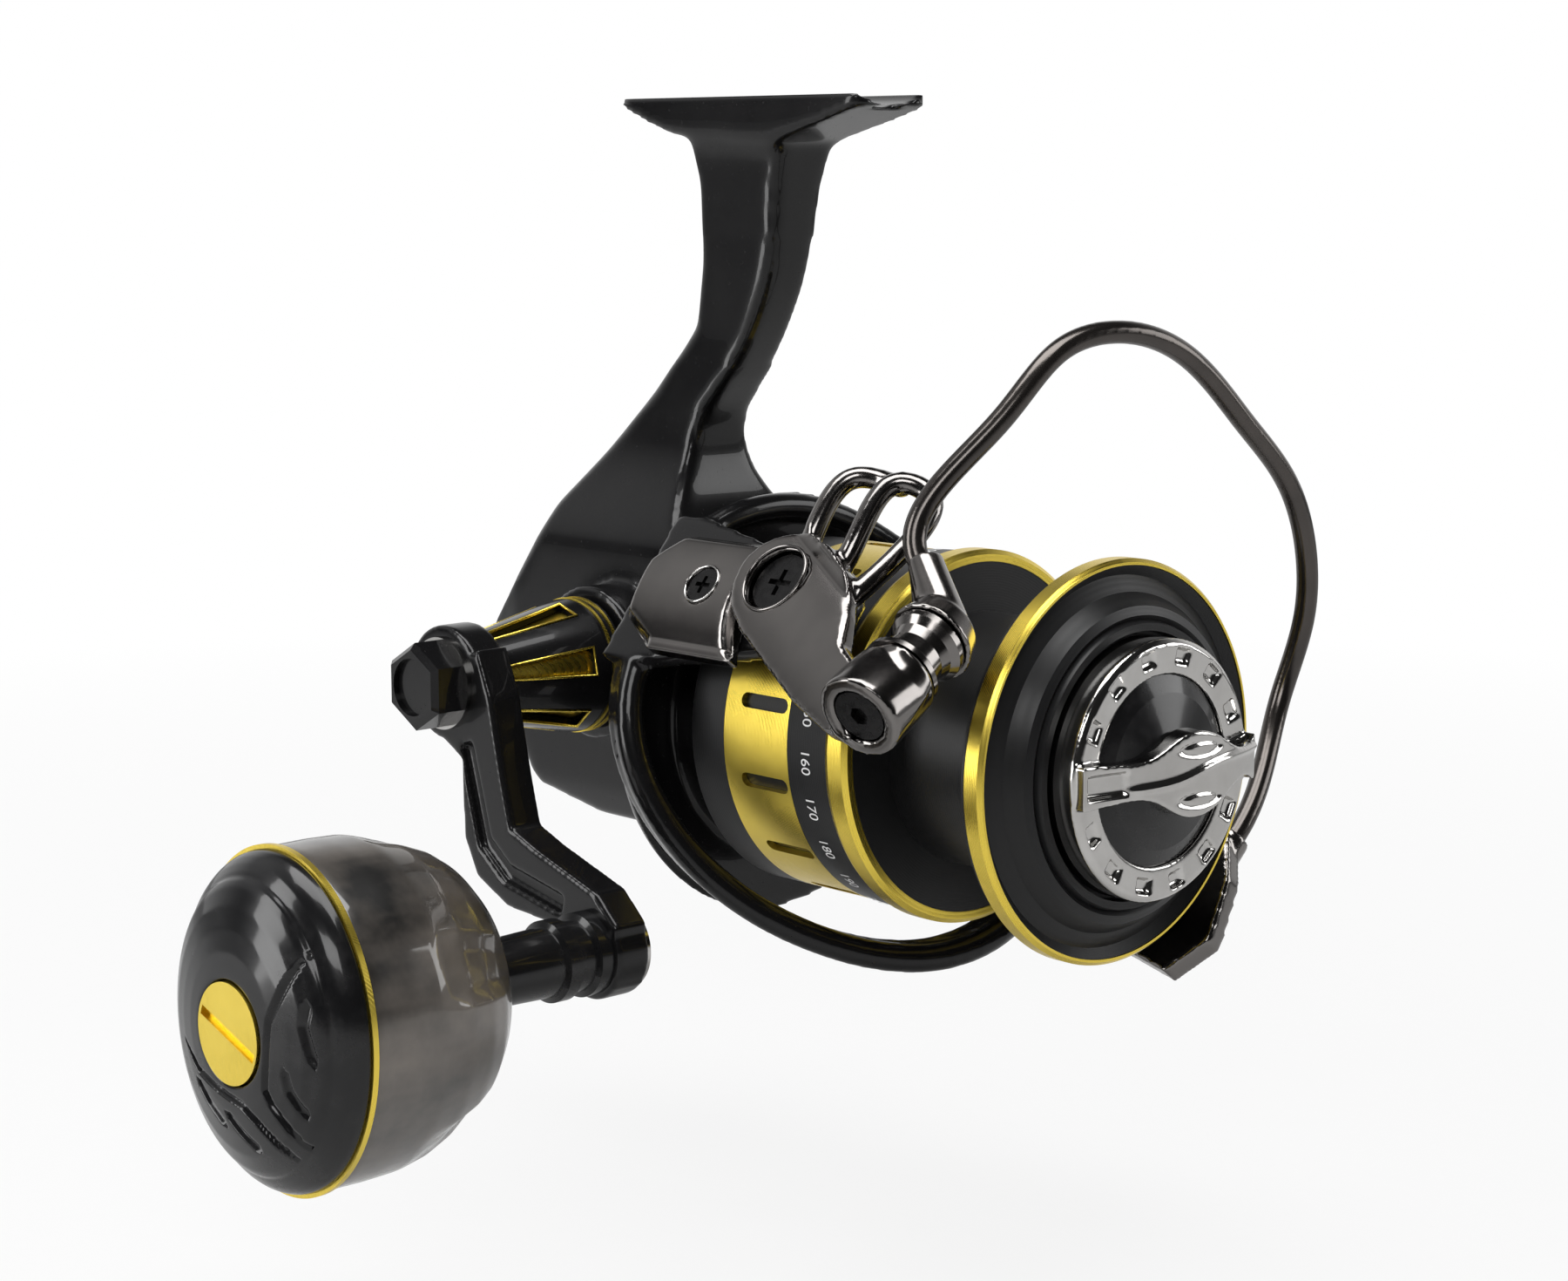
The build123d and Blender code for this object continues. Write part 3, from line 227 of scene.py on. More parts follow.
# %% Gloss black lacquer
gloss_black = Finish("gloss_black_lacquer", Coat_Roughness=0.03, IOR=1.45, Specular_IOR_Level=0.2)
gloss_black.feed("Coat Weight", 0.3)
rubbed = gloss_black.noise(45.0, 4.0, 0.6)
dust = gloss_black.noise(1900.0, 1.0, 0.4).above(0.77, 0.05)
gloss_black.feed("Base Color", gloss_black.mix(rubbed, (0.0025, 0.0025, 0.003), (0.007, 0.0068, 0.007)))
gloss_black.feed("Roughness", 0.16 + rubbed * 0.16 + dust * 0.25)
gloss_black.bump(gloss_black.noise(420.0, 2.0, 0.5) * 0.7 + dust * 0.3, 0.00004, 0.35)
print(gloss_black.material.name)

# %% [markdown]
# The bail arm's cover, lever and wire are plated in black chrome. It is a dark metal mirror, a little brown
# in places, and polished, so its only texture is a faint unevenness.

# %% Black chrome
black_chrome = Finish("black_chrome", IOR=1.9)
black_chrome.feed("Metallic", 1.0)
tone = black_chrome.noise(60.0, 3.0, 0.6)
polish = black_chrome.noise(1400.0, 1.0, 0.4)
black_chrome.feed("Base Color", black_chrome.mix(tone, (0.13, 0.125, 0.122), (0.24, 0.225, 0.215)))
black_chrome.feed("Roughness", 0.09 + tone * 0.07 + polish * 0.06)
black_chrome.bump(polish, 0.000004, 0.2)

wire_black = Finish("bail_wire_chrome", IOR=1.9)
wire_black.feed("Metallic", 0.9)
tone = wire_black.noise(90.0, 3.0, 0.6)
wire_black.feed("Base Color", wire_black.mix(tone, (0.05, 0.046, 0.044), (0.10, 0.088, 0.08)))
wire_black.feed("Roughness", 0.14 + tone * 0.12)
wire_black.bump(wire_black.noise(200.0, 1.0, 0.5), 0.000004, 0.1)
print(black_chrome.material.name, wire_black.material.name)

# %% [markdown]
# The spool is turned from aluminium and anodised satin black. A lathe leaves rings round its axis, far too
# fine to model. A wave of the distance from the axis, mixed with the place along it, draws them as bump.

# %% Satin black, turned on a lathe
satin_black = Finish("satin_black_anodised", IOR=1.45, Specular_IOR_Level=0.35)
along = satin_black.axes()[0]
cut = (satin_black.from_axis() * 14000.0 + along * 14000.0).math("SINE")
patch = satin_black.noise(70.0, 4.0, 0.6)
satin_black.feed("Base Color", satin_black.mix(patch, (0.0055, 0.0055, 0.006), (0.012, 0.012, 0.0125)))
satin_black.feed("Roughness", 0.33 + patch * 0.12 + cut * 0.02)
satin_black.bump(cut * 0.5 + patch, 0.000012, 0.5)
print(satin_black.material.name)

# %% [markdown]
# The gold rings are anodised aluminium too, but brighter: the colour is a dye in a clear layer over bare
# metal. Turning lines run round them, and the dye is a little uneven.

# %% Anodised gold
gold = Finish("gold_anodised", IOR=1.6)
gold.feed("Metallic", 1.0)
along = gold.axes()[0]
turned = (along * 21000.0 + gold.from_axis() * 9000.0).math("SINE")
dye = gold.noise(80.0, 3.0, 0.6)
gold.feed("Base Color", gold.mix(dye, (0.72, 0.53, 0.065), (0.88, 0.68, 0.12)))
gold.feed("Roughness", 0.24 + dye * 0.10 + turned * 0.02)
gold.bump(turned, 0.00001, 0.35)
print(gold.material.name)

# %% [markdown]
# The drag knob is polished chrome, and the washers on the crank are plain stainless steel. Both are mirrors
# with faint marks. The steel is brushed, so it is rougher in lines.

# %% Chrome and steel
chrome = Finish("polished_chrome", IOR=2.2)
chrome.feed("Metallic", 1.0)
haze = chrome.noise(120.0, 4.0, 0.6)
chrome.feed("Base Color", chrome.mix(haze, (0.40, 0.39, 0.375), (0.60, 0.59, 0.575)))
chrome.feed("Roughness", 0.07 + haze * 0.09)
chrome.bump(chrome.noise(700.0, 2.0, 0.5), 0.00001, 0.3)

steel = Finish("brushed_steel", IOR=2.0)
steel.feed("Metallic", 1.0)
lines = steel.stretched(1600.0, (1.0, 0.06, 1.0))
steel.feed("Base Color", steel.mix(lines, (0.42, 0.42, 0.43), (0.62, 0.62, 0.61)))
steel.feed("Roughness", 0.22 + lines * 0.16)
steel.bump(lines, 0.00001, 0.5)
print(chrome.material.name, steel.material.name)

# %% [markdown]
# The round knob is a hollow shell moulded in smoke-grey plastic that lets a little light in, so it looks
# mottled, like dark horn, under a glossy surface. Its cap and the drag knob's two inserts are plain gloss
# black plastic.

# %% Knob and insert plastics
smoke = Finish("knob_smoke_plastic", Coat_Roughness=0.06, IOR=1.5)
smoke.feed("Coat Weight", 1.0)
cloud = smoke.noise(38.0, 5.0, 0.62)
streak = smoke.stretched(160.0, (1.0, 0.18, 1.0))
depth = (cloud * 0.65 + streak * 0.35).above(0.52, 0.32)
smoke.feed("Base Color", smoke.mix(depth, (0.008, 0.0075, 0.007), (0.17, 0.148, 0.128)))
smoke.feed("Metallic", 0.15 + depth * 0.45)
smoke.feed("Roughness", 0.28 + streak * 0.2)
smoke.bump(smoke.noise(300.0, 2.0, 0.5), 0.00002, 0.3)

cap_black = Finish("gloss_black_plastic", Coat_Roughness=0.08, IOR=1.45, Specular_IOR_Level=0.2)
cap_black.feed("Coat Weight", 0.4)
grain = cap_black.noise(900.0, 2.0, 0.5)
scuff = cap_black.noise(60.0, 5.0, 0.7).above(0.62, 0.2)
cap_black.feed("Base Color", cap_black.mix(scuff, (0.006, 0.006, 0.0065), (0.016, 0.0155, 0.016)))
cap_black.feed("Roughness", 0.20 + scuff * 0.12 + grain * 0.05)
cap_black.bump(grain, 0.00002, 0.3)
print(smoke.material.name, cap_black.material.name)

# %% [markdown]
# The pieces that hold the reel together are seen through gaps and in exploded views: blackened screws,
# brass pinion, zinc gears, fibre drag washers and rubber seals. Each has its own small-scale texture.

# %% Working metals, fibre and rubber
def working(name, dark, light, metallic, rough, scale, depth_mm):
    made = Finish(name)
    made.feed("Metallic", metallic)
    pattern = made.noise(scale, 4.0, 0.6)
    made.feed("Base Color", made.mix(pattern, dark, light))
    made.feed("Roughness", rough + pattern * 0.15)
    made.bump(pattern, depth_mm * MM, 0.5)
    return made


dark_screw = working("blackened_steel", (0.012, 0.012, 0.013), (0.035, 0.034, 0.034), 0.9, 0.2, 700.0, 0.02)
brass = working("brass", (0.52, 0.36, 0.12), (0.66, 0.48, 0.18), 1.0, 0.25, 500.0, 0.02)
zinc = working("zinc_casting", (0.30, 0.30, 0.31), (0.42, 0.42, 0.42), 1.0, 0.38, 800.0, 0.04)
fibre = working("drag_fibre", (0.03, 0.028, 0.025), (0.10, 0.09, 0.075), 0.0, 0.75, 1300.0, 0.08)
rubber = working("seal_rubber", (0.012, 0.012, 0.012), (0.022, 0.022, 0.022), 0.0, 0.6, 900.0, 0.03)
print("working finishes: 5")

# %% Every part gets the finish its slot names
FINISHES = {"gloss_black": gloss_black, "gunmetal": black_chrome, "satin_black": satin_black, "gold": gold,
            "chrome": chrome, "insert_black": cap_black, "knob_grey": smoke, "steel": steel,
            "dark_screw": dark_screw, "brass": brass, "zinc": zinc, "fibre": fibre, "rubber": rubber}
slot_of = {part["node"]: part["material_slot"] for part in frame["record"]["subparts"]}
body_of = {node: body for body, members in frame["record"]["behaviour"]["bodies"].items()
           for node in members}
for name, part in nodes.items():
    part.data.materials.clear()
    part.data.materials.append(FINISHES[slot_of[name]].material)
print({slot: list(slot_of.values()).count(slot) for slot in FINISHES})

# %% [markdown]
# The body, rotor, crank arm and bail levers are castings and forgings. No edge on them is sharp, and ribs run
# into walls in soft hollows. Bevelling every edge by hand would be slow, so each machined solid is rebuilt
# as a fine even skin and relaxed. Relaxing shrinks a shape a little, so the size stays inside the solid.
# Places that must stay crisp, such as a thin foot or a bearing face, are left out through a vertex group.

# %% Soft skins over machined solids
def in_scene(name, data):
    """A new object that holds the data, linked into the scene."""
    made = bpy.data.objects.new(name, data)
    bpy.context.scene.collection.objects.link(made)
    return made


def new_piece(name, mesh, finish, body, stands_for=None):
    """Puts a finished mesh into the scene and on its body."""
    mesh.materials.clear()
    mesh.materials.append(finish.material)
    piece = in_scene(name, mesh)
    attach(piece, body)
    if stands_for:
        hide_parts(stands_for)
    return piece


def welded(node):
    """A copy of a part's mesh with its loose triangles joined."""
    mesh = nodes[node].data.copy()
    shell = bmesh.new()
    shell.from_mesh(mesh)
    bmesh.ops.remove_doubles(shell, verts=shell.verts, dist=1e-6)
    shell.to_mesh(mesh)
    shell.free()
    return mesh


def evaluated(holder):
    """The mesh an object shows once its modifiers have run; the object itself is thrown away."""
    graph = bpy.context.evaluated_depsgraph_get()
    graph.update()
    mesh = bpy.data.meshes.new_from_object(holder.evaluated_get(graph), depsgraph=graph)
    bpy.data.objects.remove(holder)
    return mesh


def points_of(mesh):
    """The mesh's points as an array, one row each, in metres."""
    points = np.empty(len(mesh.vertices) * 3)
    mesh.vertices.foreach_get("co", points)
    return points.reshape(-1, 3)


def move_points(mesh, points):
    """Puts an array of points, in metres, back into the mesh."""
    mesh.vertices.foreach_set("co", points.ravel())
    mesh.update()


def softened(node, voxel_mm, rounds, keep=None, finish=None):
    """Rebuilds a part's surface in small even cells, relaxes it, and lets it stand for the part."""
    holder = in_scene("holder", welded(node))
    cells = holder.modifiers.new("cells", "REMESH")
    cells.mode = "VOXEL"
    cells.voxel_size = voxel_mm * MM
    mesh = evaluated(holder)
    points = points_of(mesh) / MM
    free = np.ones(len(points)) if keep is None else 1.0 - np.clip(keep(points), 0, 1)
    holder = in_scene("holder", mesh)
    group = holder.vertex_groups.new(name="free")
    for weight in np.unique(np.round(free, 1)):
        members = np.nonzero(np.round(free, 1) == weight)[0]
        group.add(members.tolist(), float(weight), "REPLACE")
    relax = holder.modifiers.new("relax", "SMOOTH")
    relax.factor = 0.5
    relax.iterations = rounds
    relax.vertex_group = "free"
    mesh = evaluated(holder)
    mesh.polygons.foreach_set("use_smooth", [True] * len(mesh.polygons))
    mesh.name = node + "_skin"
    piece = new_piece(node + "_skin", mesh, finish or FINISHES[slot_of[node]], body_of[node], node)
    print(node, "skin:", len(mesh.polygons), "faces")
    return piece


FOOT_DEPTH = 8.0
BEARING_SEAT = 14.5
PINION_SEAT = 14.0
NECK_X = -14


def within(first, second, radius):
    """1 inside a radius, falling to 0 one millimetre beyond it."""
    return 1.0 - (np.hypot(first, second) - radius)


def foot_kept(points):
    """1 in the thin foot and round the bearing seats, 0 in the rest of the body, in millimetres."""
    x, y, z = points.T
    foot = (z + FOOT_DEPTH) / 3.0
    neck = np.where(x > NECK_X, within(y, z - SPOOL_Z, BEARING_SEAT), 0)
    seat = within(x - CRANK_X, z - CRANK_Z, BEARING_SEAT)
    return np.maximum(np.maximum(foot, neck), seat)


def rotor_kept(points):
    """1 near the rotor's own axis, where the pinion and its nut fit, 0 elsewhere, in millimetres."""
    return within(points[:, 1], points[:, 2] - SPOOL_Z, PINION_SEAT)


# %% [markdown]
# The lever and the cover over the bail arm are not flat on the outside. Their faces are crowned, which is
# what makes light roll over them. A skin's points are free to move, so the crown is pressed into the skin:
# nothing along the middle line, and more towards the edges.

# %% Crowned faces
def crowned(piece, start, end, half_width, drop, level):
    """Presses the outer face of a piece on the bail arm down towards both edges, so light rolls over it."""
    mesh = piece.data
    points = points_of(mesh)
    local = (points - np.array(SPOOL_CENTRE)) / MM
    across_arm = local @ np.array(ARM_SIDEWAYS)
    out = local @ np.array(ARM_OUTWARD)
    way = (np.array(end) - np.array(start)) / np.hypot(end[0] - start[0], end[1] - start[1])
    off = np.abs((local[:, 0] - start[0]) * way[1] - (across_arm - start[1]) * way[0])
    press = drop * np.clip(off / half_width, 0, 1.2) ** 2 * np.clip((out - level) / 2.0, 0, 1)
    press *= np.clip((half_width + 2.0 - off) / 2.5, 0, 1)    # the guard hoops beside it stay round
    move_points(mesh, points - press[:, None] * np.array(ARM_OUTWARD) * MM)


# %% Skins for the castings and the bail
softened("housing", 0.8, 26, foot_kept)
softened("handle_arm", 0.38, 16)
softened("rotor", 0.75, 7, rotor_kept)
lever = softened("bail_lever", 0.4, 18)
crowned(lever, (42, 0), (80, -21), 9.5, 1.5, 46.5)
softened("bail_lever_rear", 0.5, 5)
cover = softened("arm_cover", 0.4, 12)
crowned(cover, (10, 0), (40, 0), 12.0, 2.6, 42.0)
softened("arm_cover_rear", 0.5, 3)
softened("wire_cone", 0.35, 4)
softened("bail_wire", 0.3, 26, finish=wire_black)
softened("side_cover", 0.7, 3)

# %% [markdown]
# The round knob is two oval shells. Both follow one rule: an oval that grows and shrinks along the crank's
# axis. So each is a grid of points, rings by angles, and the engraved lines are pressed into the grid.
# The cup has shallow finger hollows towards the arm; the cap has a step, a forked groove and four slashes.

# %% Grids of ovals
def distance_to_line(points, line):
    """Shortest distance from each point to a bent line, and how far along it that is, from 0 to 1."""
    line = np.array(line, float)
    best = np.full(len(points), 1e9)
    along = np.zeros(len(points))
    for index, (start, end) in enumerate(zip(line[:-1], line[1:])):
        way = end - start
        share = np.clip((points - start) @ way / (way @ way), 0, 1)
        away = np.linalg.norm(points - (start + share[:, None] * way), axis=1)
        closer = away < best
        best = np.where(closer, away, best)
        along = np.where(closer, (index + share) / (len(line) - 1), along)
    return best, along


def groove_depth(points, line, half_width, depth):
    """A groove with soft walls that tapers to nothing at both ends of its line."""
    away, along = distance_to_line(points, line)
    width = half_width * np.clip(np.minimum(along, 1 - along) * 8, 0.05, 1)
    return depth * np.clip(1.35 * (1 - away / width), 0, 1)


def ring_grid(name, rings):
    """A closed mesh from rings of points, each an array of the same count, with both ends capped."""
    count = len(rings[0])
    points = np.concatenate(rings)
    faces = [(ring * count + i, ring * count + (i + 1) % count, (ring + 1) * count + (i + 1) % count,
              (ring + 1) * count + i) for ring in range(len(rings) - 1) for i in range(count)]
    faces += [tuple(range(count))[::-1], tuple(range((len(rings) - 1) * count, len(rings) * count))]
    mesh = bpy.data.meshes.new(name)
    mesh.from_pydata((points * MM).tolist(), [], faces)
    shell = bmesh.new()
    shell.from_mesh(mesh)
    bmesh.ops.recalc_face_normals(shell, faces=shell.faces)
    shell.to_mesh(mesh)
    shell.free()
    mesh.polygons.foreach_set("use_smooth", [True] * len(mesh.polygons))
    return mesh


def resampled(profile, steps):
    """Evenly spaced points along a profile given by a few corners, with the corners eased."""
    profile = np.array(profile, float)
    length = np.concatenate([[0], np.cumsum(np.linalg.norm(np.diff(profile[:, -2:], axis=0), axis=1))])
    where = np.linspace(0, length[-1], steps)
    even = np.stack([np.interp(where, length, column) for column in profile.T], 1)
    eased = even.copy()
    for _ in range(3):
        eased[1:-1] = 0.25 * eased[:-2] + 0.5 * eased[1:-1] + 0.25 * eased[2:]
    return eased


print("helpers for the knob ready")

# %% The knob's cap
SCREW_RECESS = 8.5
STEP_Y = -126.9
GROOVES = [([(16.4, 15.3), (13.2, 9.8), (10.4, 4.0), (9.6, -3.0), (9.0, -7.1), (10.0, -9.2), (12.4, -12.1),
             (16.2, -16.4)], 0.75, 0.9),
           ([(-14.4, -3.6), (-9.4, -7.9), (-3.6, -9.6), (2.7, -10.8), (6.0, -12.8), (10, -15.9),
             (13.4, -18.4)], 0.75, 0.9),
           ([(17.4, 7.9), (17.0, 4.2), (19.0, -2.2)], 0.95, 0.7),
           ([(13.2, -2.8), (14.1, -6.5), (17, -10.6)], 0.95, 0.7),
           ([(-10.7, -9.4), (-7.3, -12.6), (-2.5, -15.8)], 0.9, 0.7),
           ([(-2.3, -12.9), (1.1, -15.4), (5.8, -18.2)], 0.9, 0.7)]
angles = np.linspace(0, 2 * np.pi, 288, endpoint=False)
profile = resampled([(24.0, 27.3, -121.85), (23.8, 27.1, -123.0), (23.2, 26.5, -124.2), (22.4, 25.6, -125.3),
                     (21.3, 24.4, -126.3), (20.7, 23.7, -126.7), (20.4, 23.3, -127.4), (19.6, 22.4, -128.1),
                     (17.2, 19.6, -129.4), (14.2, 16.2, -130.3), (11.3, 12.6, -130.95), (9.2, 9.6, -131.25),
                     (8.45, 8.45, -131.3), (8.25, 8.25, -130.9), (8.25, 8.25, -127.7)], 120)
rings = []
for wide, tall, y in profile:
    x = wide * np.cos(angles)
    z = tall * np.sin(angles)
    press = np.zeros(len(angles))
    if y < STEP_Y and wide > SCREW_RECESS:
        for line, half_width, depth in GROOVES:
            press = np.maximum(press, groove_depth(np.stack([x, z], 1), line, half_width, depth))
    rings.append(np.stack([KNOB_X + x, y + press, KNOB_Z + z], 1))
cap_mesh = ring_grid("knob_cap_shell", rings)
new_piece("knob_cap_shell", cap_mesh, cap_black, "knob", "knob_cap")
print("cap:", len(cap_mesh.polygons), "faces,", len(GROOVES), "engraved lines")

# %% The knob's cup
FLUTES = 5
profile = resampled([(7.2, 7.4, -84.6), (8.8, 10.0, -84.6), (12.2, 14.0, -85.8), (15.7, 17.9, -88.5),
                     (18.8, 21.4, -91.8), (21.1, 24.1, -96.0), (23.0, 26.3, -101.5), (24.0, 27.4, -107.0),
                     (24.2, 27.6, -113.0), (24.1, 27.5, -119.6), (23.9, 27.3, -120.6)], 90)
rings = []
for wide, tall, y in profile:
    reach = np.clip((y + 108) / 16, 0, 1) * np.clip((-85.5 - y) / 3, 0, 1)
    hollow = 1 - 0.07 * reach * np.clip(np.cos(FLUTES * (angles - 0.35)) * 2.2 - 0.9, 0, 1)
    rings.append(np.stack([KNOB_X + wide * hollow * np.cos(angles), np.full(len(angles), y),
                           KNOB_Z + tall * hollow * np.sin(angles)], 1))
cup_mesh = ring_grid("knob_cup_shell", rings)
new_piece("knob_cup_shell", cup_mesh, smoke, "knob", "knob_cup")
print("cup:", len(cup_mesh.polygons), "faces")

# %% [markdown]
# The drag knob is one zinc casting, polished and chromed: a notched ring with a twist bar across it. Its
# skin is made like the other castings, and then the bar gets its pressed details: a pocket at the low end,
# a ridge that twists from one side to the other, and two leaf-shaped hollows on its lobes.

# %% The drag knob's bar
BAR_FACE_X = 98.6
RIDGE_DEPTH = 0.55
LEAF_DEPTH = 0.45
POCKET_DEPTH = 1.1
mesh = softened("drag_knob", 0.3, 3).data
points = points_of(mesh) / MM
side = points[:, 1]
height = points[:, 2] - SPOOL_Z
top = np.clip((points[:, 0] - BAR_FACE_X) / 0.8, 0, 1) * (np.abs(height) < 9)
pocket = np.clip((4.4 - np.abs(side + 16.2)) / 0.6, 0, 1) * np.clip((2.1 - np.abs(height)) / 0.6, 0, 1)
ridge_line = 0.2 + 1.6 * np.tanh((side - 1.5) / 6.0)
ridge = np.exp(-((height - ridge_line) / 0.5) ** 2) * np.clip((12.5 + side) / 3, 0, 1)
leaf = np.zeros(len(points))
for lobe in (1, -1):
    ring_out = np.hypot((side - 3.2) / 5.2, (height - lobe * 4.2) / 1.25)
    leaf = np.maximum(leaf, np.exp(-((ring_out - 0.85) / 0.16) ** 2))
points[:, 0] += top * (RIDGE_DEPTH * (ridge - 1) - LEAF_DEPTH * leaf - POCKET_DEPTH * pocket)
move_points(mesh, points * MM)
print("bar pressed:", int((top > 0).sum()), "points of the bar")

# %% [markdown]
# Small parts that repeat are made once and set out by Geometry Nodes: bright rims round the screw recesses,
# gold rims round the hub's six windows, and ticks round the spool. Each tree takes its sizes as inputs,
# makes its instances real, and sets one material, so the result is an ordinary mesh.

# %% Trees for repeated parts
def tree_with_inputs(name, inputs):
    """A new Geometry Nodes tree with a geometry input and output and named number inputs."""
    made = bpy.data.node_groups.new(name, "GeometryNodeTree")
    made.interface.new_socket("Geometry", in_out="INPUT", socket_type="NodeSocketGeometry")
    made.interface.new_socket("Geometry", in_out="OUTPUT", socket_type="NodeSocketGeometry")
    for label, kind, value in inputs:
        socket = made.interface.new_socket(label, in_out="INPUT", socket_type=kind)
        socket.default_value = value
    start = made.nodes.new("NodeGroupInput")
    end = made.nodes.new("NodeGroupOutput")
    return made, start, end


def add_node(tree, kind, settings=None, **inputs):
    """A node whose settings are made first and whose sockets are then linked or set by name."""
    node = tree.nodes.new(kind)
    for name, value in (settings or {}).items():
        setattr(node, name, value)
    for name, value in inputs.items():
        slot = node.inputs[name.replace("_", " ")]
        if isinstance(value, bpy.types.NodeSocket):
            tree.links.new(value, slot)
        else:
            slot.default_value = value
    return node


def set_out(tree, end, places, shape, turn, finish):
    """Ends a tree: the shape at each place, turned, made real and given its finish."""
    spread = add_node(tree, "GeometryNodeInstanceOnPoints", Points=places, Instance=shape.outputs[0],
                      Rotation=turn.outputs[0])
    real = add_node(tree, "GeometryNodeRealizeInstances", Geometry=spread.outputs[0])
    painted = add_node(tree, "GeometryNodeSetMaterial", Geometry=real.outputs[0], Material=finish.material)
    tree.links.new(painted.outputs[0], end.inputs[0])


def round_an_axis(tree, count, axis):
    """A point for each repeat, and turns about the axis that share out a full circle."""
    spots = add_node(tree, "GeometryNodePoints", Count=count)
    index = add_node(tree, "GeometryNodeInputIndex")
    angle = Value(tree, index.outputs[0]) / Value(tree, count) * (2 * math.pi)
    turn = add_node(tree, "FunctionNodeAxisAngleToRotation", Axis=axis, Angle=angle.socket)
    return spots.outputs[0], turn


def grown(name, tree, base, finish, body, sizes):
    """Runs a tree on a base mesh and returns the result as a plain piece."""
    holder = in_scene(name + "_holder", base)
    modifier = holder.modifiers.new("grow", "NODES")
    modifier.node_group = tree
    for item in tree.interface.items_tree:
        if item.in_out == "INPUT" and item.name in sizes:
            modifier[item.identifier] = sizes[item.name]
    mesh = evaluated(holder)
    mesh.polygons.foreach_set("use_smooth", [True] * len(mesh.polygons))
    mesh.name = name
    piece = new_piece(name, mesh, finish, body)
    print(name, len(mesh.polygons), "faces")
    return piece


def points_mesh(name, places, facings):
    """Loose points, each with the direction it faces."""
    mesh = bpy.data.meshes.new(name)
    mesh.from_pydata([tuple(place) for place in places], [], [])
    facing = mesh.attributes.new("facing", "FLOAT_VECTOR", "POINT")
    facing.data.foreach_set("vector", np.array([tuple(way) for way in facings], float).ravel())
    return mesh


def rim_tree(finish):
    """A round hoop of wire at each point of the base mesh, facing the way that the point says."""
    tree, start, end = tree_with_inputs("rims", [("Radius", "NodeSocketFloat", 0.003),
                                                 ("Thickness", "NodeSocketFloat", 0.0003)])
    circle = add_node(tree, "GeometryNodeCurvePrimitiveCircle", Resolution=48, Radius=start.outputs["Radius"])
    wire = add_node(tree, "GeometryNodeCurvePrimitiveCircle", Resolution=10,
                    Radius=start.outputs["Thickness"])
    hoop = add_node(tree, "GeometryNodeCurveToMesh", Curve=circle.outputs[0], Profile_Curve=wire.outputs[0])
    facing = add_node(tree, "GeometryNodeInputNamedAttribute", {"data_type": "FLOAT_VECTOR"}, Name="facing")
    turn = add_node(tree, "FunctionNodeAlignRotationToVector", {"axis": "Z"}, Vector=facing.outputs[0])
    set_out(tree, end, start.outputs["Geometry"], hoop, turn, finish)
    return tree


rims = rim_tree(black_chrome)
grown("screw_rim_pivot", rims, points_mesh("pivot_point", [on_arm(46, 0, 49.5)], [ARM_OUTWARD]), black_chrome,
      "bail", {"Radius": 6.3 * MM, "Thickness": 0.32 * MM})
grown("screw_rim_cover", rims, points_mesh("cover_point", [on_arm(25, -1, 45.35)], [ARM_OUTWARD]), chrome,
      "rotor", {"Radius": 3.55 * MM, "Thickness": 0.22 * MM})

# %% Gold rims of the hub's windows
tree, start, end = tree_with_inputs("window_rims", [("Windows", "NodeSocketInt", 6),
                                                    ("Thickness", "NodeSocketFloat", 0.0003)])
outline = add_node(tree, "GeometryNodeMeshToCurve", Mesh=start.outputs["Geometry"])
wire = add_node(tree, "GeometryNodeCurvePrimitiveCircle", Resolution=8, Radius=start.outputs["Thickness"])
rim = add_node(tree, "GeometryNodeCurveToMesh", Curve=outline.outputs[0], Profile_Curve=wire.outputs[0])
places, turn = round_an_axis(tree, start.outputs["Windows"], (0, 1, 0))
set_out(tree, end, places, rim, turn, gold)

HUB_FOOT = (-32, 12.2)      # place along the crank's axis and radius there, both in millimetres
HUB_TIP = (-53, 7.8)


def on_hub(y, half_width, turned):
    """A point on the hub's cone, from the crank's axis, at a sideways distance from a window's middle."""
    share = max(0.0, (HUB_FOOT[0] - y) / (HUB_FOOT[0] - HUB_TIP[0]))
    radius = HUB_FOOT[1] + (HUB_TIP[1] - HUB_FOOT[1]) * share + 0.05
    way = math.radians(turned)
    out = math.sqrt(radius * radius - half_width * half_width)
    return Vector((out * math.sin(way) + half_width * math.cos(way), y,
                   out * math.cos(way) - half_width * math.sin(way))) * MM


window = [on_hub(-34.4, -2.6, 18), on_hub(-34.4, 2.6, 18), on_hub(-43, 1.9, 18), on_hub(-52, 1.2, 18),
          on_hub(-52, -1.2, 18), on_hub(-43, -1.9, 18)]
outline_mesh = bpy.data.meshes.new("window_outline")
outline_mesh.from_pydata([tuple(point) for point in window], [(i, (i + 1) % 6) for i in range(6)], [])
hub_rims = grown("hub_window_rims", tree, outline_mesh, gold, "crank", {"Windows": 6, "Thickness": 0.28 * MM})
hub_rims.data.transform(Matrix.Translation(CRANK_CENTRE))
print("window rims round", [round(v, 4) for v in CRANK_CENTRE])

# %% [markdown]
# Printed marks are a thin layer of white ink. Short ticks and plain numbers run round the skirt's black
# band, and a row of dots round the arbor marks the line level. Text is made a mesh first and then wrapped
# round the spool, so it follows the curve.

# %% White ink
ink = Finish("white_ink")
speck = ink.noise(1500.0, 2.0, 0.5)
ink.feed("Base Color", ink.mix(speck, (0.62, 0.62, 0.62), (0.78, 0.78, 0.78)))
ink.feed("Roughness", 0.45 + speck * 0.2)
ink.bump(speck, 0.00001, 0.3)

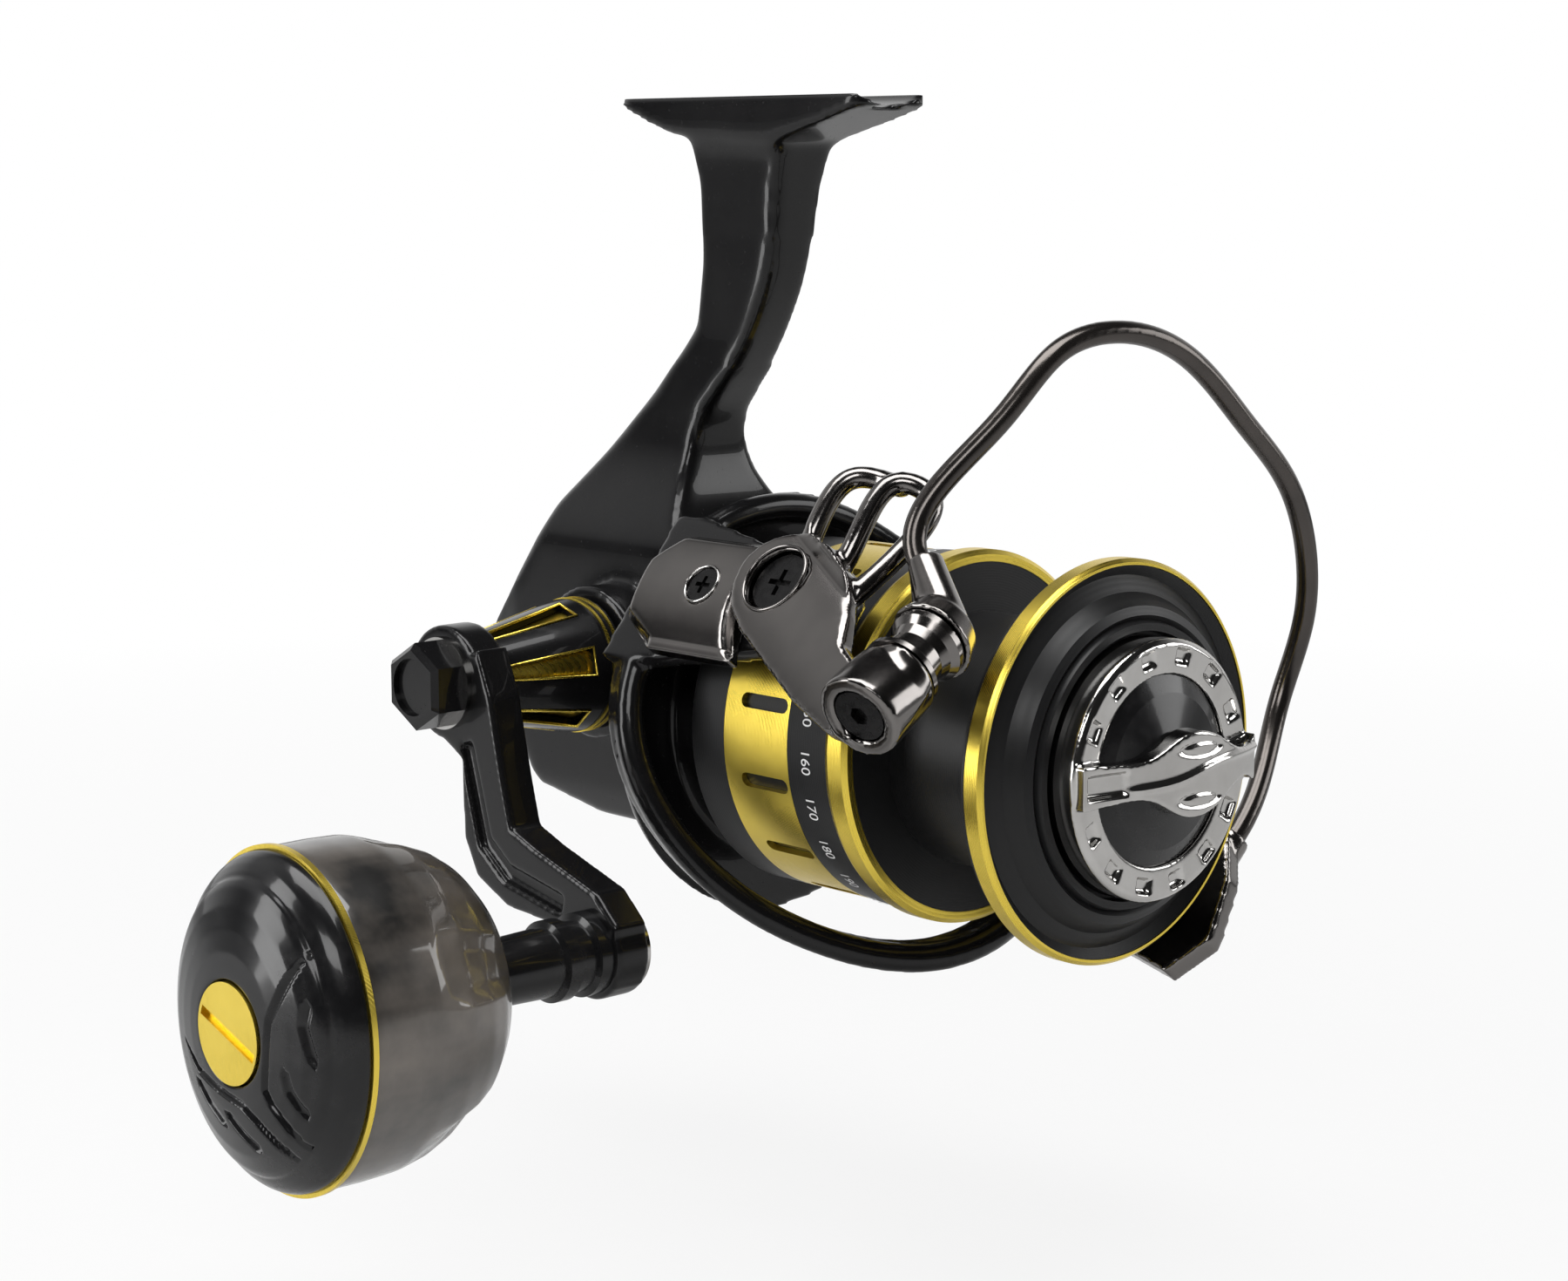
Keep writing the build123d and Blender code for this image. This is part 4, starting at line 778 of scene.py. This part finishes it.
tree, start, end = tree_with_inputs("ring_of_marks", [("Count", "NodeSocketInt", 40),
                                                      ("Radius", "NodeSocketFloat", 0.03),
                                                      ("Length", "NodeSocketFloat", 0.001),
                                                      ("Width", "NodeSocketFloat", 0.0003),
                                                      ("Thickness", "NodeSocketFloat", 0.00005)])
size = add_node(tree, "ShaderNodeCombineXYZ", X=start.outputs["Length"], Y=start.outputs["Width"],
                Z=start.outputs["Thickness"])
mark = add_node(tree, "GeometryNodeMeshCube", Size=size.outputs[0])
lift = add_node(tree, "ShaderNodeCombineXYZ", Z=start.outputs["Radius"])
raised = add_node(tree, "GeometryNodeTransform", Geometry=mark.outputs[0], Translation=lift.outputs[0])
places, turn = round_an_axis(tree, start.outputs["Count"], (1, 0, 0))
set_out(tree, end, places, raised, turn, ink)


def outer_radius(node, low, high):
    """The largest distance from the spool's axis of a part's points between two places along it, in mm."""
    found = [math.hypot(v.co.y, v.co.z - SPOOL_Z * MM) for v in nodes[node].data.vertices
             if low * MM <= v.co.x <= high * MM]
    return max(found) / MM


band_radius = outer_radius("skirt", 43, 49)
arbor_radius = outer_radius("spool", 64, 74)
for name, count, x, radius, length, width in (("skirt_ticks", 28, 49.6, band_radius, 1.1, 0.28),
                                              ("arbor_dots", 90, 71.0, arbor_radius, 0.22, 0.5)):
    marks = grown(name, tree, bpy.data.meshes.new(name + "_base"), ink, "spool",
                  {"Count": count, "Radius": (radius + 0.02) * MM, "Length": length * MM, "Width": width * MM,
                   "Thickness": 0.06 * MM})
    marks.data.transform(Matrix.Translation(SPOOL_CENTRE + FORWARD * x * MM))
print("band radius", round(band_radius, 2), "arbor radius", round(arbor_radius, 2))

# %% Plain numbers round the skirt
def wrapped_number(text, middle_angle, x, height):
    """A number as a thin mesh, bent round the spool's axis."""
    curve = bpy.data.curves.new("number_" + text, "FONT")
    curve.body = text
    curve.size = height * MM
    curve.align_x = "CENTER"
    curve.align_y = "CENTER"
    mesh = evaluated(in_scene("number_holder", curve))
    for vertex in mesh.vertices:
        angle = middle_angle + math.degrees(vertex.co.x / (band_radius * MM))
        vertex.co = round_spool(x + vertex.co.y / MM, angle, band_radius + 0.05)
    return mesh


joined = bmesh.new()
NUMBERS = 24
for step in range(NUMBERS):
    joined.from_mesh(wrapped_number(str(100 + 10 * step), 360 / NUMBERS * step + 3.0, 45.8, 3.0))
numbers_mesh = bpy.data.meshes.new("skirt_numbers")
joined.to_mesh(numbers_mesh)
joined.free()
new_piece("skirt_numbers", numbers_mesh, ink, "spool")
print("numbers:", len(numbers_mesh.polygons), "faces")

# %% [markdown]
# The stage is a pale floor under the reel and a white background. The background's white comes from its own
# colour, for the camera and for reflections. The lamps are large soft panels, so the black surfaces get the
# long calm highlights that show their shape.

# %% World and floor
world = bpy.data.worlds.new("studio")
bpy.context.scene.world = world
world.use_nodes = True
tree = world.node_tree
tree.nodes.clear()
ray = tree.nodes.new("ShaderNodeLightPath")
around = tree.nodes.new("ShaderNodeTexCoord")
axes = tree.nodes.new("ShaderNodeSeparateXYZ")
tree.links.new(around.outputs["Generated"], axes.inputs[0])
up = Value(tree, axes.outputs[2])
seen = Value(tree, ray.outputs["Is Camera Ray"])
glossy = Value(tree, ray.outputs["Is Glossy Ray"])
through = Value(tree, ray.outputs["Is Transmission Ray"])
behind = Value(tree, axes.outputs[1]) * 0.686 - Value(tree, axes.outputs[0]) * 0.728
sweep = behind.above(0.42, 0.5) * (1.0 - up.math("ABSOLUTE").above(0.55, 0.3))
strength = (seen + through).math("MINIMUM", 1.0).math("MAXIMUM", glossy * (0.02 + sweep * 0.85))
behind_left = up * 0.66 - Value(tree, axes.outputs[0]) * 0.70 - Value(tree, axes.outputs[1]) * 0.27
strength = strength.math("MAXIMUM", glossy * behind_left.above(0.94, 0.14) * 0.65)
strength = strength.math("MAXIMUM", (1.0 - glossy) * 0.25)
back = tree.nodes.new("ShaderNodeBackground")
back.inputs["Color"].default_value = (1, 1, 1, 1)
plug(tree, back.inputs["Strength"], strength)
out = tree.nodes.new("ShaderNodeOutputWorld")
tree.links.new(back.outputs[0], out.inputs[0])

FLOOR_DROP = 0.030      # clears the round knob and the bail wire at their lowest
floor_height = cad_box[0][2] - FLOOR_DROP
floor_mesh = bpy.data.meshes.new("floor")
floor_mesh.from_pydata([(-40, -40, floor_height), (40, -40, floor_height), (40, 40, floor_height),
                        (-40, 40, floor_height)], [], [(0, 1, 2, 3)])
floor = in_scene("floor", floor_mesh)
paper = Finish("floor_paper", Roughness=0.9)
tooth = paper.noise(300.0, 2.0)
paper.feed("Base Color", paper.mix(tooth, (0.50, 0.50, 0.50), (0.54, 0.54, 0.54)))
glow = paper.tree.nodes.new("ShaderNodeEmission")
glow.inputs[1].default_value = 1.0
blend = paper.tree.nodes.new("ShaderNodeMixShader")
path = paper.tree.nodes.new("ShaderNodeLightPath")
x, y, z = paper.axes()
far = (x * x + y * y).math("SQRT").above(0.45, 0.5)
share = (Value(paper.tree, path.outputs["Is Camera Ray"]) * (0.86 + far * 0.14)
         + Value(paper.tree, path.outputs["Is Glossy Ray"]) * 0.08)
plug(paper.tree, blend.inputs[0], share)
paper.tree.links.new(paper.shader.outputs[0], blend.inputs[1])
paper.tree.links.new(glow.outputs[0], blend.inputs[2])
paper.tree.links.new(blend.outputs[0], paper.tree.nodes["Material Output"].inputs[0])
floor_mesh.materials.append(paper.material)
print("floor at", round(floor_height / MM, 1), "mm")


# %% Soft lamps
LAMPS_AIM = Vector((0.01, -0.02, -0.10))


def panel(name, place, width, height, watts):
    """A soft rectangular lamp, in metres and watts, turned towards the reel."""
    data = bpy.data.lights.new(name, "AREA")
    data.shape = "RECTANGLE"
    data.size = width
    data.size_y = height
    data.energy = watts
    lamp = in_scene(name, data)
    lamp.location = place
    lamp.rotation_euler = (LAMPS_AIM - Vector(place)).to_track_quat("-Z", "Y").to_euler()


panel("top_panel", (0.05, -0.10, 0.75), 0.9, 0.5, 9.0)
panel("left_panel", (-0.35, -0.75, 0.15), 0.30, 0.8, 5.0)
panel("right_panel", (0.62, 0.74, 0.16), 0.40, 0.45, 2.2)
panel("front_panel", (0.55, -0.75, 0.45), 0.5, 0.3, 3.0)
print("lamps: 4")

# %% Camera
azimuth = math.radians(46.7)
elevation = math.radians(8.8)
toward = Vector((math.sin(azimuth) * math.cos(elevation), -math.cos(azimuth) * math.cos(elevation),
                 math.sin(elevation)))
across = Vector((math.cos(azimuth), math.sin(azimuth), 0))
upright = toward.cross(across)
lens = bpy.data.cameras.new("camera")
lens.lens = 70
lens.sensor_width = 36
camera = in_scene("camera", lens)
camera.matrix_world = Matrix((across, upright, toward)).transposed().to_4x4()
camera.location = (0.4103, -0.3801, -0.0133)
bpy.context.scene.camera = camera
bpy.context.scene.view_settings.view_transform = "Standard"
print("camera at", [round(v, 3) for v in camera.location])
